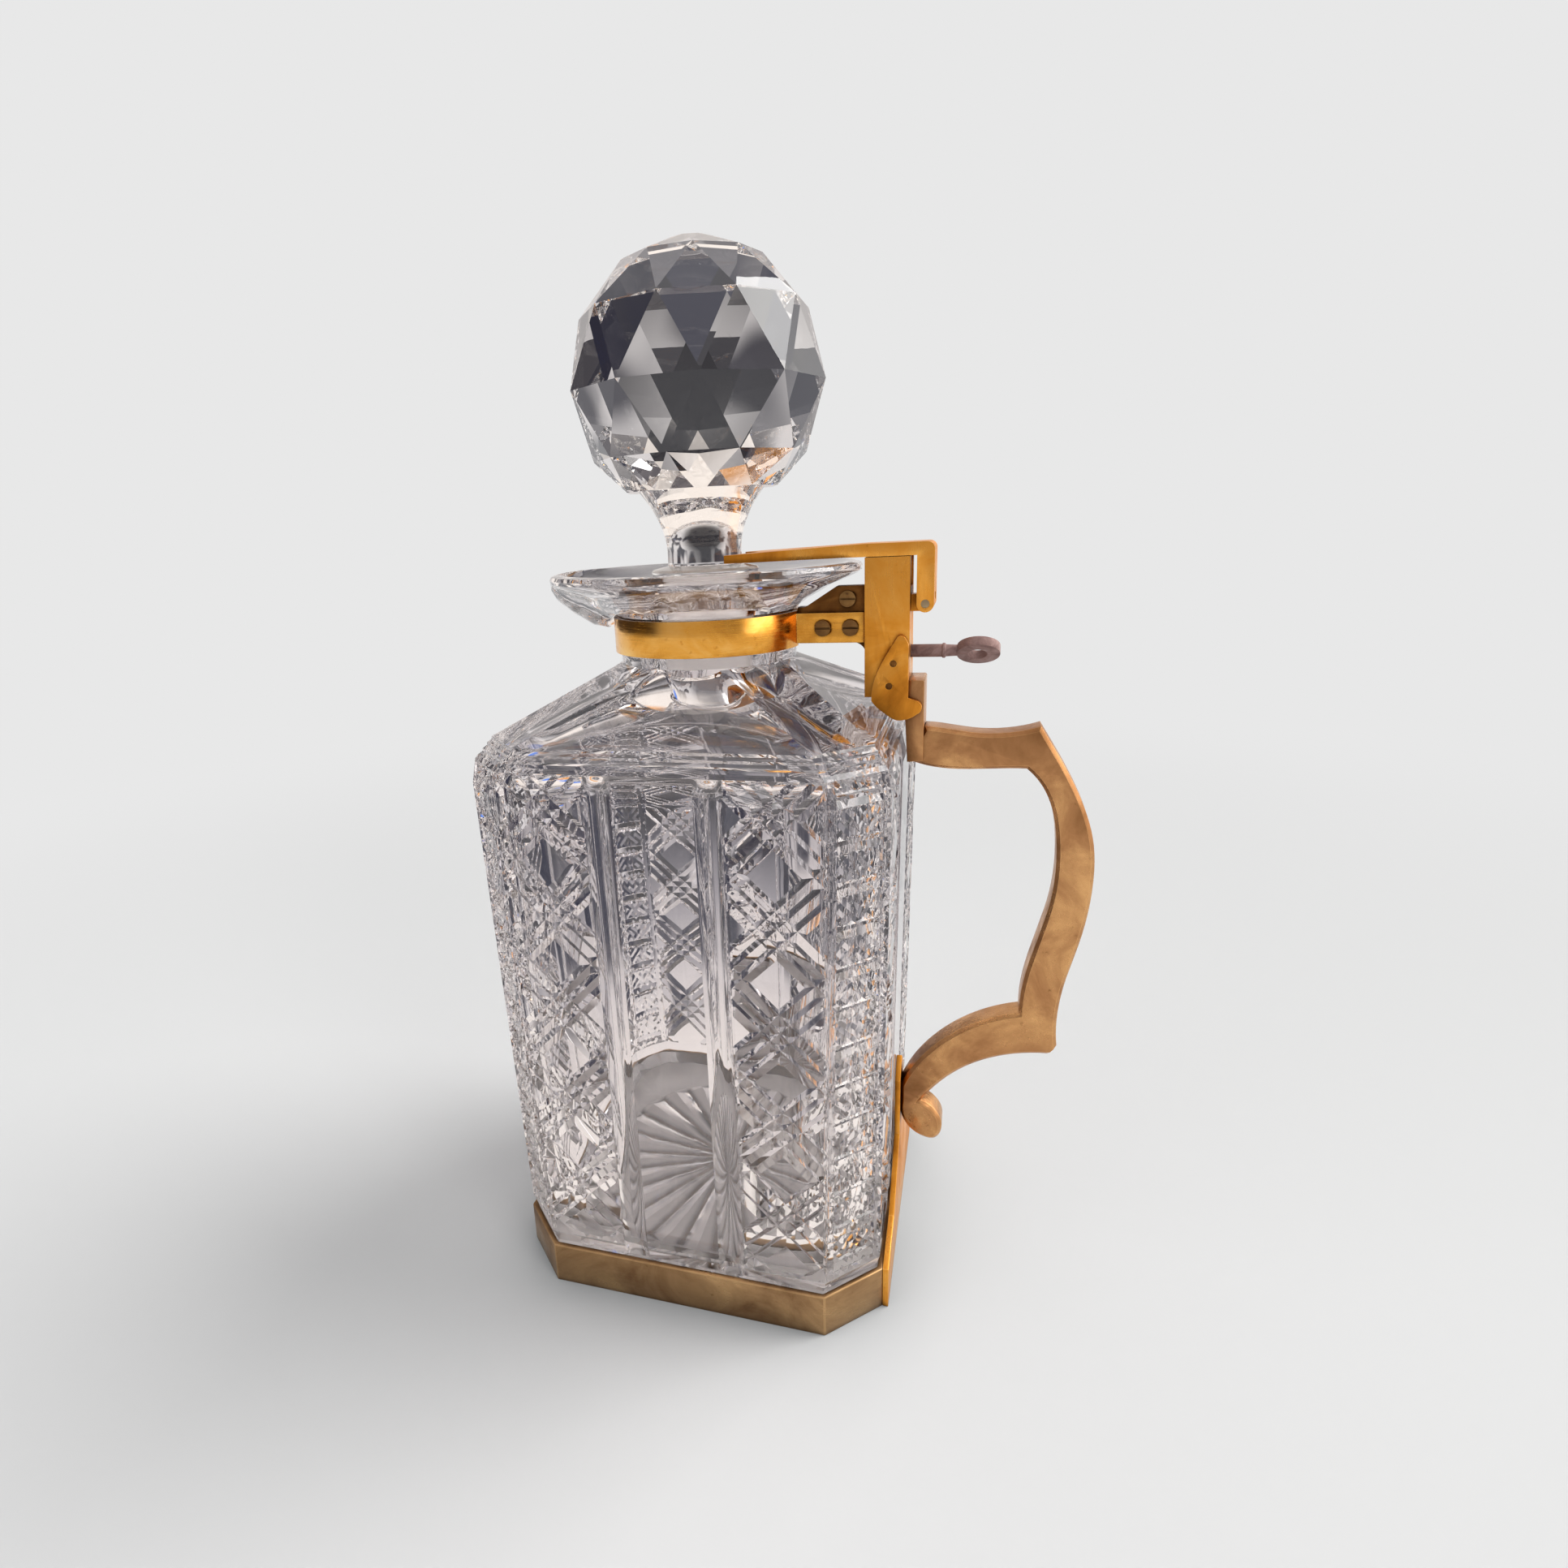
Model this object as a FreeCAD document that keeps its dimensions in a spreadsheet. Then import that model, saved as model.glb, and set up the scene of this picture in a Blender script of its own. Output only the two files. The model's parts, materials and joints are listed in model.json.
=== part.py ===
"""Single-bottle tantalus: a square cut-glass decanter held in a brass tray and a hinged, locking neck frame.

Millimetres, +Z up. The origin is the centre of the tray's underside, on the bottle's axis. +X points at the
handle and -Y is the front face. The solids are at their closed, unlocked rest pose.
"""
import FreeCAD
import Part
import Sketcher
import math
import os
import re

from FreeCAD import Placement, Rotation, Vector

UP = Vector(0, 0, 1)
FRONT_TO_BACK = Vector(0, 1, 0)
TO_HANDLE = Vector(1, 0, 0)

doc = FreeCAD.newDocument("tantalus")

# Driving dimensions

# A value in quotes is worked out from sizes above it.
SIZES = [
    # running, seating and assembly clearances
    ("seat_gap", 0.25), ("pin_gap", 0.05), ("slide_gap", 0.3), ("overrun", 2.0),
    # square bottle with cut-off corners
    ("foot_half", 48.5), ("flare", 3.3), ("face_half", "foot_half + flare"), ("corner_cut", 12.0),
    ("face_top", 140.5), ("overhang", 1.0), ("overhang_rise", 3.5), ("bevel_inset", 0.9), ("bevel_rise", 6.0),
    ("shoulder_inset", 4.3), ("shoulder_rise", 11.0), ("neck_radius", 23.2), ("neck_rise", 25.5),
    ("neck_foot", "face_top + neck_rise"), ("glass_wall", 5.5), ("glass_floor", 9.0), ("shoulder_wall", 6.0),
    # base tray
    ("tray_height", 11.8), ("tray_wall", 1.5), ("tray_floor", 1.5),
    ("tray_outer", "foot_half + seat_gap + tray_wall"),
    # neck band, and above it the poured lip and the bore
    ("band_rise", 2.9), ("band_foot", "neck_foot + band_rise"), ("band_height", 8.9), ("band_thickness", 1.2),
    ("band_inner", "neck_radius + seat_gap"), ("band_outer", "band_inner + band_thickness"),
    ("band_gap", 0.4), ("lip_foot", "band_foot + band_height + band_gap"), ("lip_height", 11.2),
    ("lip_top", "lip_foot + lip_height"), ("lip_edge", 2.6), ("dish_drop", 2.6), ("bore_radius", 12.7),
    ("bore_taper", 1.3), ("bore_drop", 3.2), ("bore_mouth", "lip_top - bore_drop"), ("peg_length", 26.7),
    ("peg_foot", "bore_mouth - peg_length"),
    # lock case outside the lip
    ("case_setback", 10.0), ("case_inner_x", "face_half - case_setback"), ("case_depth", 10.8),
    ("case_outer_x", "case_inner_x + case_depth"), ("case_half", 6.0), ("case_stand", 0.9),
    ("case_top", "lip_top + case_stand"), ("case_wall", 1.5), ("cover_thickness", 1.2), ("boss_size", 3.0),
    ("lip_clearance", 1.4), ("lip_radius", "case_inner_x - lip_clearance"), ("beak_stand", 3.0),
    ("beak_reach", "lip_radius + beak_stand"), ("beak_drop", 1.6), ("beak_root_half", 17.0),
    ("beak_tip_half", 4.5),
    # cut patterns of the glass: flutes, crossed bands, corner blocks and the star under the foot
    ("flute_place", 13.1), ("flute_width", 6.6), ("flute_bed", 2.8), ("flute_depth", 1.3), ("flute_end", 4.0),
    ("cut_inner", 16.4), ("cut_pitch", 26.5), ("cut_column", 27.6), ("cut_row", 111.6), ("cut_width", 9.9),
    ("cut_bed", 7.9), ("cut_depth", 0.6), ("cut_margin", 0.8), ("groove_pitch", 10.2), ("groove_first", 19.5),
    ("groove_width", 3.0), ("groove_depth", 0.9), ("groove_half", 6.2), ("star_radius", 38.0),
    ("star_depth", 2.0), ("star_cut_width", 9.0), ("star_cuts", 24),
    # stopper
    ("waist_radius", 9.6), ("waist_rise", 4.2), ("waist_top", "lip_top + waist_rise"), ("flare_radius", 16.0),
    ("flare_rise", 14.9), ("flare_top", "waist_top + flare_rise"), ("ball_radius", 32.0), ("ball_rise", 25.2),
    ("ball_centre", "flare_top + ball_rise"), ("ball_sides", 10), ("collar_radius", 14.0),
    ("collar_height", 2.4),
    # tabs of the neck band, and the bracket between them
    ("tab_thickness", 1.4), ("tab_inset", 0.7), ("tab_end_gap", 0.4), ("bracket_thickness", 4.0),
    ("bracket_inset", 1.3), ("bracket_start", "neck_radius + bracket_inset"), ("bracket_rise", 5.3),
    ("bracket_top", "lip_foot + bracket_rise"), ("bracket_neck", 3.2),
    ("bracket_slope_start", "neck_radius + bracket_neck"), ("bracket_slope_share", 0.52),
    ("bracket_slope_end", "bracket_slope_start + (case_inner_x - bracket_slope_start) * bracket_slope_share"),
    ("bracket_cove", 3.6),
    # slotted screws
    ("screw_radius", 1.1), ("head_radius", 2.0), ("head_height", 1.0), ("slot_width", 0.5),
    ("slot_depth", 0.5), ("screw_bite", 1.4), ("screw_first_share", 0.376), ("screw_second_share", 0.778),
    ("screw_top_share", 0.732), ("tab_span", "case_inner_x - band_outer"),
    ("screw_first", "band_outer + tab_span * screw_first_share"),
    ("screw_second", "band_outer + tab_span * screw_second_share"),
    ("screw_top_x", "band_outer + tab_span * screw_top_share"), ("screw_top_rise", 2.2),
    ("screw_top_z", "lip_foot + screw_top_rise"), ("small_screw_radius", 0.7), ("small_head_radius", 1.15),
    ("small_head_height", 0.6),
    # heights in the lock case
    ("key_drop", 11.2), ("key_height", "lip_foot - key_drop"), ("case_drop", 10.7),
    ("case_foot", "key_height - case_drop"), ("guide_drop", 11.1), ("guide_foot", "case_top - guide_drop"),
    ("guide_thickness", 2.0), ("notch_drop", 7.3), ("notch_foot", "case_top - notch_drop"),
    # hinge of the locking arm
    ("hinge_stand", 3.55), ("hinge_x", "case_outer_x + hinge_stand"), ("hinge_drop", 11.3),
    ("hinge_z", "case_top - hinge_drop"), ("hinge_pin_radius", 1.0), ("ear_half", 2.1),
    ("leg_half_depth", 2.05),
    # locking arm
    ("arm_thickness", 3.1), ("arm_tip_thickness", 1.9), ("arm_corner", 1.8), ("fork_tip", 8.5),
    ("fork_half", 12.6), ("fork_neck_share", 0.826),
    ("fork_neck_x", "fork_tip + (case_inner_x - fork_tip) * fork_neck_share"), ("throat_x", 2.5),
    ("throat_radius", 11.4),
    # staple under the arm
    ("staple_setback", 3.4), ("staple_inner_x", "case_inner_x + staple_setback"), ("staple_depth", 5.2),
    ("staple_half", 3.2), ("staple_drop", 7.5), ("staple_foot", "case_top - staple_drop"),
    ("staple_socket", 4.4), ("staple_rivet_place", 1.1),
    # bolt
    ("bolt_setback", 4.7), ("bolt_inner_x", "case_inner_x + bolt_setback"), ("bolt_thickness", 2.6),
    ("tongue_half", 1.5), ("tongue_top", "staple_foot - slide_gap"), ("bolt_rise", 5.6),
    ("bolt_body_foot", "key_height + bolt_rise"), ("bolt_body_height", 3.3), ("bolt_back", 3.4),
    ("bolt_front", 4.5), ("talon_face", 2.0), ("talon_depth", 1.8), ("talon_half", 1.3), ("talon_lead", 1.28),
    ("bolt_drop", 4.8), ("bolt_foot", "key_height - bolt_drop"),
    # bolt spring
    ("spring_thickness", 0.4), ("spring_width", 2.0), ("spring_drop", 6.0),
    ("spring_foot", "key_height - spring_drop"), ("spring_rise", 0.5),
    ("spring_bend", "key_height + spring_rise"),
    # key
    ("key_seat", 2.2), ("key_start", "case_inner_x + key_seat"), ("shank_radius", 1.6), ("pipe_radius", 1.0),
    ("pipe_depth", 7.5), ("pipe_end", "key_start + pipe_depth"), ("drill_radius", 0.92),
    ("drill_length", 6.6), ("drill_end", "key_start + drill_length"), ("bit_reach", 3.6), ("bit_inset", 0.4),
    ("bit_inner_x", "bolt_inner_x + bit_inset"), ("bit_length", 1.8), ("bit_thickness", 1.2),
    ("bit_angle", -30.0), ("shank_stand", 8.2), ("shank_end", "case_outer_x + shank_stand"),
    ("collar_rib", 0.25), ("key_neck_radius", 1.25), ("key_neck_length", 2.8),
    ("bow_start", "shank_end + key_neck_length"), ("bow_length", 10.2), ("bow_half", 6.1),
    ("bow_thickness", 2.2), ("bow_rim", 2.6), ("bow_hole_start", "bow_start + bow_rim"),
    ("bow_hole_length", 4.6), ("bow_hole_half", 2.9),
    # leaf cheeks
    ("cheek_thickness", 1.6), ("rivet_radius", 0.75), ("rivet_upper_setback", 7.1),
    ("rivet_upper_x", "case_inner_x + rivet_upper_setback"), ("rivet_drop", 2.1),
    ("rivet_upper_z", "key_height - rivet_drop"), ("rivet_lower_setback", 6.1),
    ("rivet_lower_x", "case_inner_x + rivet_lower_setback"), ("rivet_spacing", 5.6),
    ("rivet_lower_z", "rivet_upper_z - rivet_spacing"),
    # back strap and handle
    ("strap_thickness", 1.5), ("strap_half", 5.5), ("strap_point", 5.0), ("strap_flare_rise", 18.2),
    ("strap_outer", "tray_outer + strap_thickness"), ("handle_thickness", 8.0), ("root_stand", 0.65),
    ("handle_root", "strap_outer + root_stand"), ("handle_depth", 45.6),
    ("handle_reach", "handle_root + handle_depth"), ("handle_foot", 28.5), ("root_drop", 7.5),
    ("handle_top", "case_foot - root_drop"), ("handle_bevel", 0.9), ("root_overlap", 4.2),
    ("root_rise", "case_foot + root_overlap"), ("root_thickness", 3.7), ("root_gap", 0.35),
    ("scroll_rise", 11.0), ("scroll_screw_z", "handle_foot + scroll_rise"), ("scroll_screw_bite", 4.0),
    ("strap_margin", 7.5), ("strap_height", "scroll_screw_z + strap_margin"),
]

sheet = doc.addObject("Spreadsheet::Sheet", "Sizes")
for row, (alias, value) in enumerate(SIZES, start=1):
    sheet.set("A%d" % row, alias)
    sheet.set("B%d" % row, "=" + value if isinstance(value, str) else str(value))
    sheet.setAlias("B%d" % row, alias)
    doc.recompute()
ALIASES = {alias for alias, value in SIZES}


def formula(text):
    """A formula in size names, written as the sheet's own expression."""
    return re.sub(r"[a-z_]+", lambda m: "Sizes." + m.group(0) if m.group(0) in ALIASES else m.group(0), text)


def num(text):
    """The value of a formula in size names."""
    found = sheet.evalExpression(formula(text))
    return float(getattr(found, "Value", found))


def bind(item, **sizes):
    """Binds properties of an object to formulas. A double underscore in a name stands for a dot."""
    for prop, text in sizes.items():
        item.setExpression(prop.replace("__", "."), formula(text))
    return item


# Building blocks

def box(name, x_low, x_high, y_low, y_high, z_low, z_high):
    """A box between six formulas."""
    item = doc.addObject("Part::Box", name)
    bind(item, Length="(%s) - (%s)" % (x_high, x_low), Width="(%s) - (%s)" % (y_high, y_low),
         Height="(%s) - (%s)" % (z_high, z_low), Placement__Base__x=x_low, Placement__Base__y=y_low,
         Placement__Base__z=z_low)
    return item


def rod(name, direction, radius, length, x, y, z):
    """A round bar from a start point along a direction."""
    item = doc.addObject("Part::Cylinder", name)
    item.Placement = Placement(Vector(), Rotation(UP, direction))
    bind(item, Radius=radius, Height=length, Placement__Base__x=x, Placement__Base__y=y,
         Placement__Base__z=z)
    return item


def fuse(name, shapes):
    item = doc.addObject("Part::MultiFuse", name)
    item.Shapes = shapes
    item.Refine = True
    return item


def cut(name, base, tools):
    """The base less all its tools."""
    item = doc.addObject("Part::Cut", name)
    item.Base = base
    item.Tool = tools[0] if len(tools) == 1 else fuse(name + "_tools", tools)
    item.Refine = True
    return item


def cut_in_turn(name, base, tools):
    """The base less one set of cuts after another, for sets that run into each other."""
    for tool in tools:
        base = cut(name if tool is tools[-1] else "%s_with_%s" % (name, tool.Label), base, [tool])
    return base


def common(name, first, second):
    item = doc.addObject("Part::MultiCommon", name)
    item.Shapes = [first, second]
    item.Refine = True
    return item


def fixed(name, shape):
    """A shape worked out with the sheet's values, as an object of the document."""
    item = doc.addObject("Part::Feature", name)
    item.Shape = shape
    return item


def sketch_lines(sketch, points):
    """Closed outline through points that are pairs of formulas, each tied to the sheet."""
    places = [Vector(num(u), num(v), 0) for u, v in points]
    for start, end in zip(places, places[1:] + places[:1]):
        sketch.addGeometry(Part.LineSegment(start, end), False)
    count = len(places)
    for i in range(count):
        sketch.addConstraint(Sketcher.Constraint("Coincident", i, 2, (i + 1) % count, 1))
    for i, (u, v) in enumerate(points):
        for kind, text, value in (("DistanceX", u, places[i].x), ("DistanceY", v, places[i].y)):
            if abs(value) < 1e-9:
                axis = -2 if kind == "DistanceX" else -1
                sketch.addConstraint(Sketcher.Constraint("PointOnObject", i, 1, axis))
                continue
            made = sketch.addConstraint(Sketcher.Constraint(kind, -1, 1, i, 1, value))
            sketch.setExpression("Constraints[%d]" % made, formula(text))


def body_sketch(body, name, role, points, offset="0"):
    """A sketch on one of the body's origin planes, moved along the plane's normal."""
    sketch = body.newObject("Sketcher::SketchObject", name)
    plane = next(f for f in body.Origin.OriginFeatures if f.Role == role)
    sketch.AttachmentSupport = (plane, [""])
    sketch.MapMode = "FlatFace"
    bind(sketch, AttachmentOffset__Base__z=offset)
    sketch_lines(sketch, points)
    return sketch


def pad(body, name, sketch, length):
    feature = body.newObject("PartDesign::Pad", name)
    feature.Profile = sketch
    bind(feature, Length=length)
    return feature


def pocket(body, name, sketch, length):
    """A pocket from the sketch's plane against its normal."""
    feature = body.newObject("PartDesign::Pocket", name)
    feature.Profile = sketch
    bind(feature, Length=length)
    return feature


def new_body(name):
    return doc.addObject("PartDesign::Body", name)


def octagon(half, corner):
    """A square with cut-off corners, from formulas for its half width and its corner cut."""
    flat = "(%s) - (%s)" % (half, corner)
    far = "(%s)" % half
    return [(flat, "-" + far), (far, "-(%s)" % flat), (far, flat), (flat, far),
            ("-(%s)" % flat, far), ("-" + far, flat), ("-" + far, "-(%s)" % flat), ("-(%s)" % flat, "-" + far)]


def octagon_ring(half, corner, level):
    """The eight corners of a square with cut-off corners, at a height."""
    flat = half - corner
    return [Vector(x, y, level) for x, y in ((flat, -half), (half, -flat), (half, flat), (flat, half), (-flat, half),
                                             (-half, flat), (-half, -flat), (-flat, -half))]


def regular_octagon_ring(radius, level):
    """The corners of a regular octagon whose sides touch a circle."""
    return octagon_ring(radius, radius * (2 - math.sqrt(2)), level)


def polygon_face(corners):
    return Part.Face(Part.makePolygon(list(corners) + [corners[0]]))


def stacked_solid(rings):
    """A solid of flat faces between rings of corners, from the lowest ring to the highest."""
    faces = [polygon_face(rings[0]), polygon_face(rings[-1])]
    for lower, upper in zip(rings, rings[1:]):
        count = len(lower)
        for i in range(count):
            after = (i + 1) % count
            faces.append(polygon_face([lower[i], lower[after], upper[after], upper[i]]))
    solid = Part.Solid(Part.Shell(faces))
    if solid.Volume < 0:
        solid.reverse()
    return solid


def outline_face(points):
    """A face in the XZ plane. A point marked as the middle of an arc rounds the stretch between its neighbours."""
    edges = []
    count = len(points)
    i = 0
    while i < count:
        here = Vector(points[i][0], 0, points[i][1])
        after = points[(i + 1) % count]
        if len(after) == 3:
            end = points[(i + 2) % count]
            edges.append(Part.Arc(here, Vector(after[0], 0, after[1]), Vector(end[0], 0, end[1])).toShape())
            i += 2
        else:
            edges.append(Part.LineSegment(here, Vector(after[0], 0, after[1])).toShape())
            i += 1
    return Part.Face(Part.Wire(edges))


def spline(points):
    """A smooth edge through points in the XZ plane."""
    curve = Part.BSplineCurve()
    curve.interpolate([Vector(x, 0, z) for x, z in points])
    return curve.toShape()


def slab(face, y_low, y_high):
    """A face of the XZ plane drawn out between two depths."""
    placed = face.copy()
    placed.translate(FRONT_TO_BACK * y_low)
    return placed.extrude(FRONT_TO_BACK * (y_high - y_low))


# Glass bottle

def bottle_body():
    """Square body with cut-off corners that overhangs the tray, with a bevelled top edge and a sloped shoulder."""
    half, corner, base = num("face_half"), num("corner_cut"), num("tray_floor")
    bevel, shoulder = half - num("bevel_inset"), half - num("shoulder_inset")
    top = num("face_top")
    foot, rim = num("foot_half"), num("tray_height + 2 * seat_gap")
    sections = [
        octagon_ring(foot, corner, base),
        octagon_ring(foot, corner, rim),
        octagon_ring(foot + num("overhang"), corner, rim + num("overhang_rise")),
        octagon_ring(half, corner, top),
        octagon_ring(bevel, corner, top + num("bevel_rise")),
        octagon_ring(shoulder, corner, top + num("shoulder_rise")),
        regular_octagon_ring(num("neck_radius"), num("neck_foot")),
    ]
    return fixed("bottle_body", stacked_solid(sections))


def peg_radius(height):
    """Radius of the stopper's ground peg at a height given as a formula."""
    share = (num("bore_mouth") - num(height)) / num("bore_mouth - peg_foot")
    return num("bore_radius") - num("bore_taper") * share


def bottle_hollow():
    """The inside of the body, one wall smaller all round, up to the tapered bore."""
    wall = num("glass_wall")
    corner = num("corner_cut") - wall * (2 - math.sqrt(2))
    foot, half = num("foot_half") - wall, num("face_half") - wall
    shoulder = half - num("shoulder_inset")
    rise = num("shoulder_rise") - num("shoulder_wall")
    low = num("tray_floor + glass_floor")
    inset = wall / 2
    sections = [
        octagon_ring(foot - inset, corner, low),
        octagon_ring(foot, corner, low + inset),
        octagon_ring(half, corner, num("face_top") - inset),
        octagon_ring(shoulder, corner, num("face_top") + rise),
        regular_octagon_ring(peg_radius("peg_foot"), num("peg_foot") - inset / 2),
    ]
    return fixed("bottle_hollow", stacked_solid(sections))


# The lip's underside from the neck out, in shares of its overhang and height, and its rounded rim in shares of
# the edge's thickness.
LIP_UNDER_SHARES = ((0.0, 0.0), (0.16, 0.17), (0.38, 0.36), (0.62, 0.55), (0.8, 0.66))
LIP_RIM_SHARES = ((0.3, 1.0), (0.0, 0.72), (0.0, 0.34), (0.3, 0.06), (1.0, 0.0))
# Where the dish starts inside the rim, in edge thicknesses and as a share of its depth.
DISH_START_SHARES = (2.2, 0.22)


def neck_and_lip():
    """Round neck that flares into a thick, dished lip."""
    neck, lip = num("neck_radius"), num("lip_radius")
    foot, top, edge = num("lip_foot"), num("lip_top"), num("lip_edge")
    low = num("neck_foot")
    core = num("bore_radius - bore_taper") / 2
    seat = top - num("dish_drop + seat_gap")
    profile = [(core, low), (neck, low)]
    profile += [(neck + a * (lip - neck), foot + b * (top - foot)) for a, b in LIP_UNDER_SHARES]
    profile += [(lip - edge * a, top - edge * b) for a, b in LIP_RIM_SHARES]
    profile += [(lip - DISH_START_SHARES[0] * edge, top - DISH_START_SHARES[1] * num("dish_drop")),
                (num("collar_radius + slide_gap"), seat), (core, seat)]
    face = Part.Face(Part.makePolygon([Vector(x, 0, z) for x, z in profile + profile[:1]]))
    return fixed("neck_and_lip", face.revolve(Vector(), UP, 360))


BEAK_SIDES = 16


def oval_wire(x, height, half_width, half_height):
    """An upright many-sided oval across the X axis."""
    corners = []
    for i in range(BEAK_SIDES):
        turn = 2 * math.pi * (i + 0.5) / BEAK_SIDES
        corners.append(Vector(x, half_width * math.cos(turn), height + half_height * math.sin(turn)))
    return Part.makePolygon(corners + corners[:1])


# Along the beak: place, half width, underside below the lip's foot and top below the lip's top, each as a share.
BEAK_SHARES = ((0.0, 1.0, 0.67, 0.3), (0.4, 0.8, 0.43, 0.12), (0.67, 0.5, -0.01, 0.06), (0.94, 0.18, -0.52, 0.1),
               (1.0, 0.0, -0.68, 0.2))


def beak():
    """The pouring beak: the lip drawn out and pinched down over the band, opposite the handle."""
    reach, top, foot = num("beak_reach"), num("lip_top"), num("lip_foot")
    root, tip, drop = num("beak_root_half"), num("beak_tip_half"), num("beak_drop")
    start = num("neck_radius - glass_wall")
    sections = []
    for along, width_share, low_share, high_share in BEAK_SHARES:
        low = foot - low_share * (top - foot)
        high = top - drop * along - high_share * drop
        half = tip + (root - tip) * width_share
        sections.append(oval_wire(-(start + (reach - start) * along), (low + high) / 2, half, (high - low) / 2))
    shape = Part.makeLoft(sections, True, True)
    clear = num("neck_radius + seat_gap + band_thickness + seat_gap")
    room = Part.makeCylinder(clear, num("band_height + 2 * seat_gap"), Vector(0, 0, num("band_foot - seat_gap")))
    return fixed("beak", shape.cut(room))


# The channel's height above the lip and its half width, in shares of the beak's half width at its tip.
CHANNEL_RISE_SHARE = 0.35
CHANNEL_HALF_SHARE = 0.8


def pouring_channel():
    """The hollow that runs out along the top of the beak."""
    top, reach = num("lip_top"), num("beak_reach")
    start = num("collar_radius")
    radius = num("beak_tip_half")
    run = Vector(-(reach - start) - num("overrun"), 0, -num("beak_drop") - num("overrun") / 2)
    half = radius * CHANNEL_HALF_SHARE
    near = oval_wire(-start, top + radius * CHANNEL_RISE_SHARE, half, half)
    far = near.copy()
    far.translate(run)
    return fixed("pouring_channel", Part.makeLoft([near, far], True, True))


def face_line(level):
    """Half width of the body at a height between the overhang and the bevel."""
    low, high = num("tray_height + 2 * seat_gap + overhang_rise"), num("face_top")
    near, far = num("foot_half + overhang"), num("face_half")
    return near + (far - near) * (level - low) / (high - low)


def groove(width, bed, depth, start, end):
    """A cutter with a flat bed between sloped sides, along a line of the XZ plane, which stands for a face."""
    over = num("overrun")
    along = (end - start).normalize()
    across = along.cross(FRONT_TO_BACK)
    spread = (width - bed) / 2 * over / depth
    profile = [(bed / 2, depth), (width / 2 + spread, -over), (-width / 2 - spread, -over), (-bed / 2, depth)]
    if not bed:
        profile = [(0.0, depth)] + profile[1:3]
    corners = [start + across * side + FRONT_TO_BACK * deep for side, deep in profile]
    return polygon_face(corners).extrude(end - start)


def on_faces(name, cutters):
    """Leans cutters drawn on the XZ plane with the front face, and copies them to the four faces, both ways round."""
    low, high = num("tray_height + 2 * seat_gap + overhang_rise"), num("face_top")
    lean = math.degrees(math.atan2(face_line(high) - face_line(low), high - low))
    front = Part.makeCompound(cutters)
    front.rotate(Vector(0, 0, low), TO_HANDLE, lean)
    front.translate(-FRONT_TO_BACK * face_line(low))
    copies = []
    for shape in (front, front.mirror(Vector(), TO_HANDLE)):
        for turn in range(4):
            copy = shape.copy()
            copy.rotate(Vector(), UP, 90 * turn)
            copies.append(copy)
    return fixed(name, Part.makeCompound(copies))


def panel_flutes():
    """The hollow flutes that bound the clear centre panel of each main face."""
    x, low, high = num("flute_place"), num("tray_height - overrun"), num("face_top + bevel_rise / 2")
    width, bed, depth = num("flute_width"), num("flute_bed"), num("flute_depth")
    run = groove(width, bed, depth, Vector(x, 0, low), Vector(x, 0, high - num("flute_end")))
    end = groove(width, bed, depth, Vector(x, 0, high - num("flute_end") * 2), Vector(x, 0, high))
    end.rotate(Vector(x, 0, high - num("flute_end")), TO_HANDLE, math.degrees(math.atan2(depth, num("flute_end"))))
    return on_faces("panel_flutes", [run, end])


def crossed_bands():
    """The crossed bands of cuts beside the flutes, one shallow groove for each band, with plain squares between."""
    low = num("tray_height + 2 * seat_gap + overhang_rise + cut_margin")
    high = num("face_top - cut_margin")
    near, far = num("cut_inner"), num("foot_half + overhang - corner_cut - cut_margin")
    column, row, pitch = num("cut_column"), num("cut_row"), num("cut_pitch")
    width, bed, depth = num("cut_width"), num("cut_bed"), num("cut_depth")
    reach = high - low
    bands = []
    for way in (-1, 1):
        first = math.floor((low - reach - row) / pitch)
        last = math.ceil((high + reach - row) / pitch)
        for i in range(first, last + 1):
            level = row + pitch * i
            start = Vector(column - reach, 0, level - way * reach)
            end = Vector(column + reach, 0, level + way * reach)
            if max(start.z, end.z) > low and min(start.z, end.z) < high:
                bands.append(groove(width, bed, depth, start, end))
    field = Part.makeBox(far - near, num("overrun") * 2, high - low, Vector(near, -num("overrun"), low))
    bands = [band.common(field) for band in bands]
    bands = [band for band in bands if band.Volume > 0]
    return on_faces("crossed_bands", [bands[0].multiFuse(bands[1:]).removeSplitter()])


def corner_grooves():
    """Level mitre cuts across the cut-off corners."""
    count = int((num("face_top") - num("groove_first")) / num("groove_pitch")) + 1
    half, width, depth = num("groove_half"), num("groove_width"), num("groove_depth")
    cuts = []
    for i in range(count):
        level = num("groove_first") + i * num("groove_pitch")
        wedge = groove(width, 0, depth, Vector(-half, 0, level), Vector(half, 0, level))
        wedge.translate(-FRONT_TO_BACK * (2 * face_line(level) - num("corner_cut")) / math.sqrt(2))
        wedge.rotate(Vector(), UP, 45)
        cuts += [wedge.copy() for turn in range(4)]
        for turn in range(4):
            cuts[-1 - turn].rotate(Vector(), UP, 90 * turn)
    return fixed("corner_grooves", Part.makeCompound(cuts))


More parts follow.
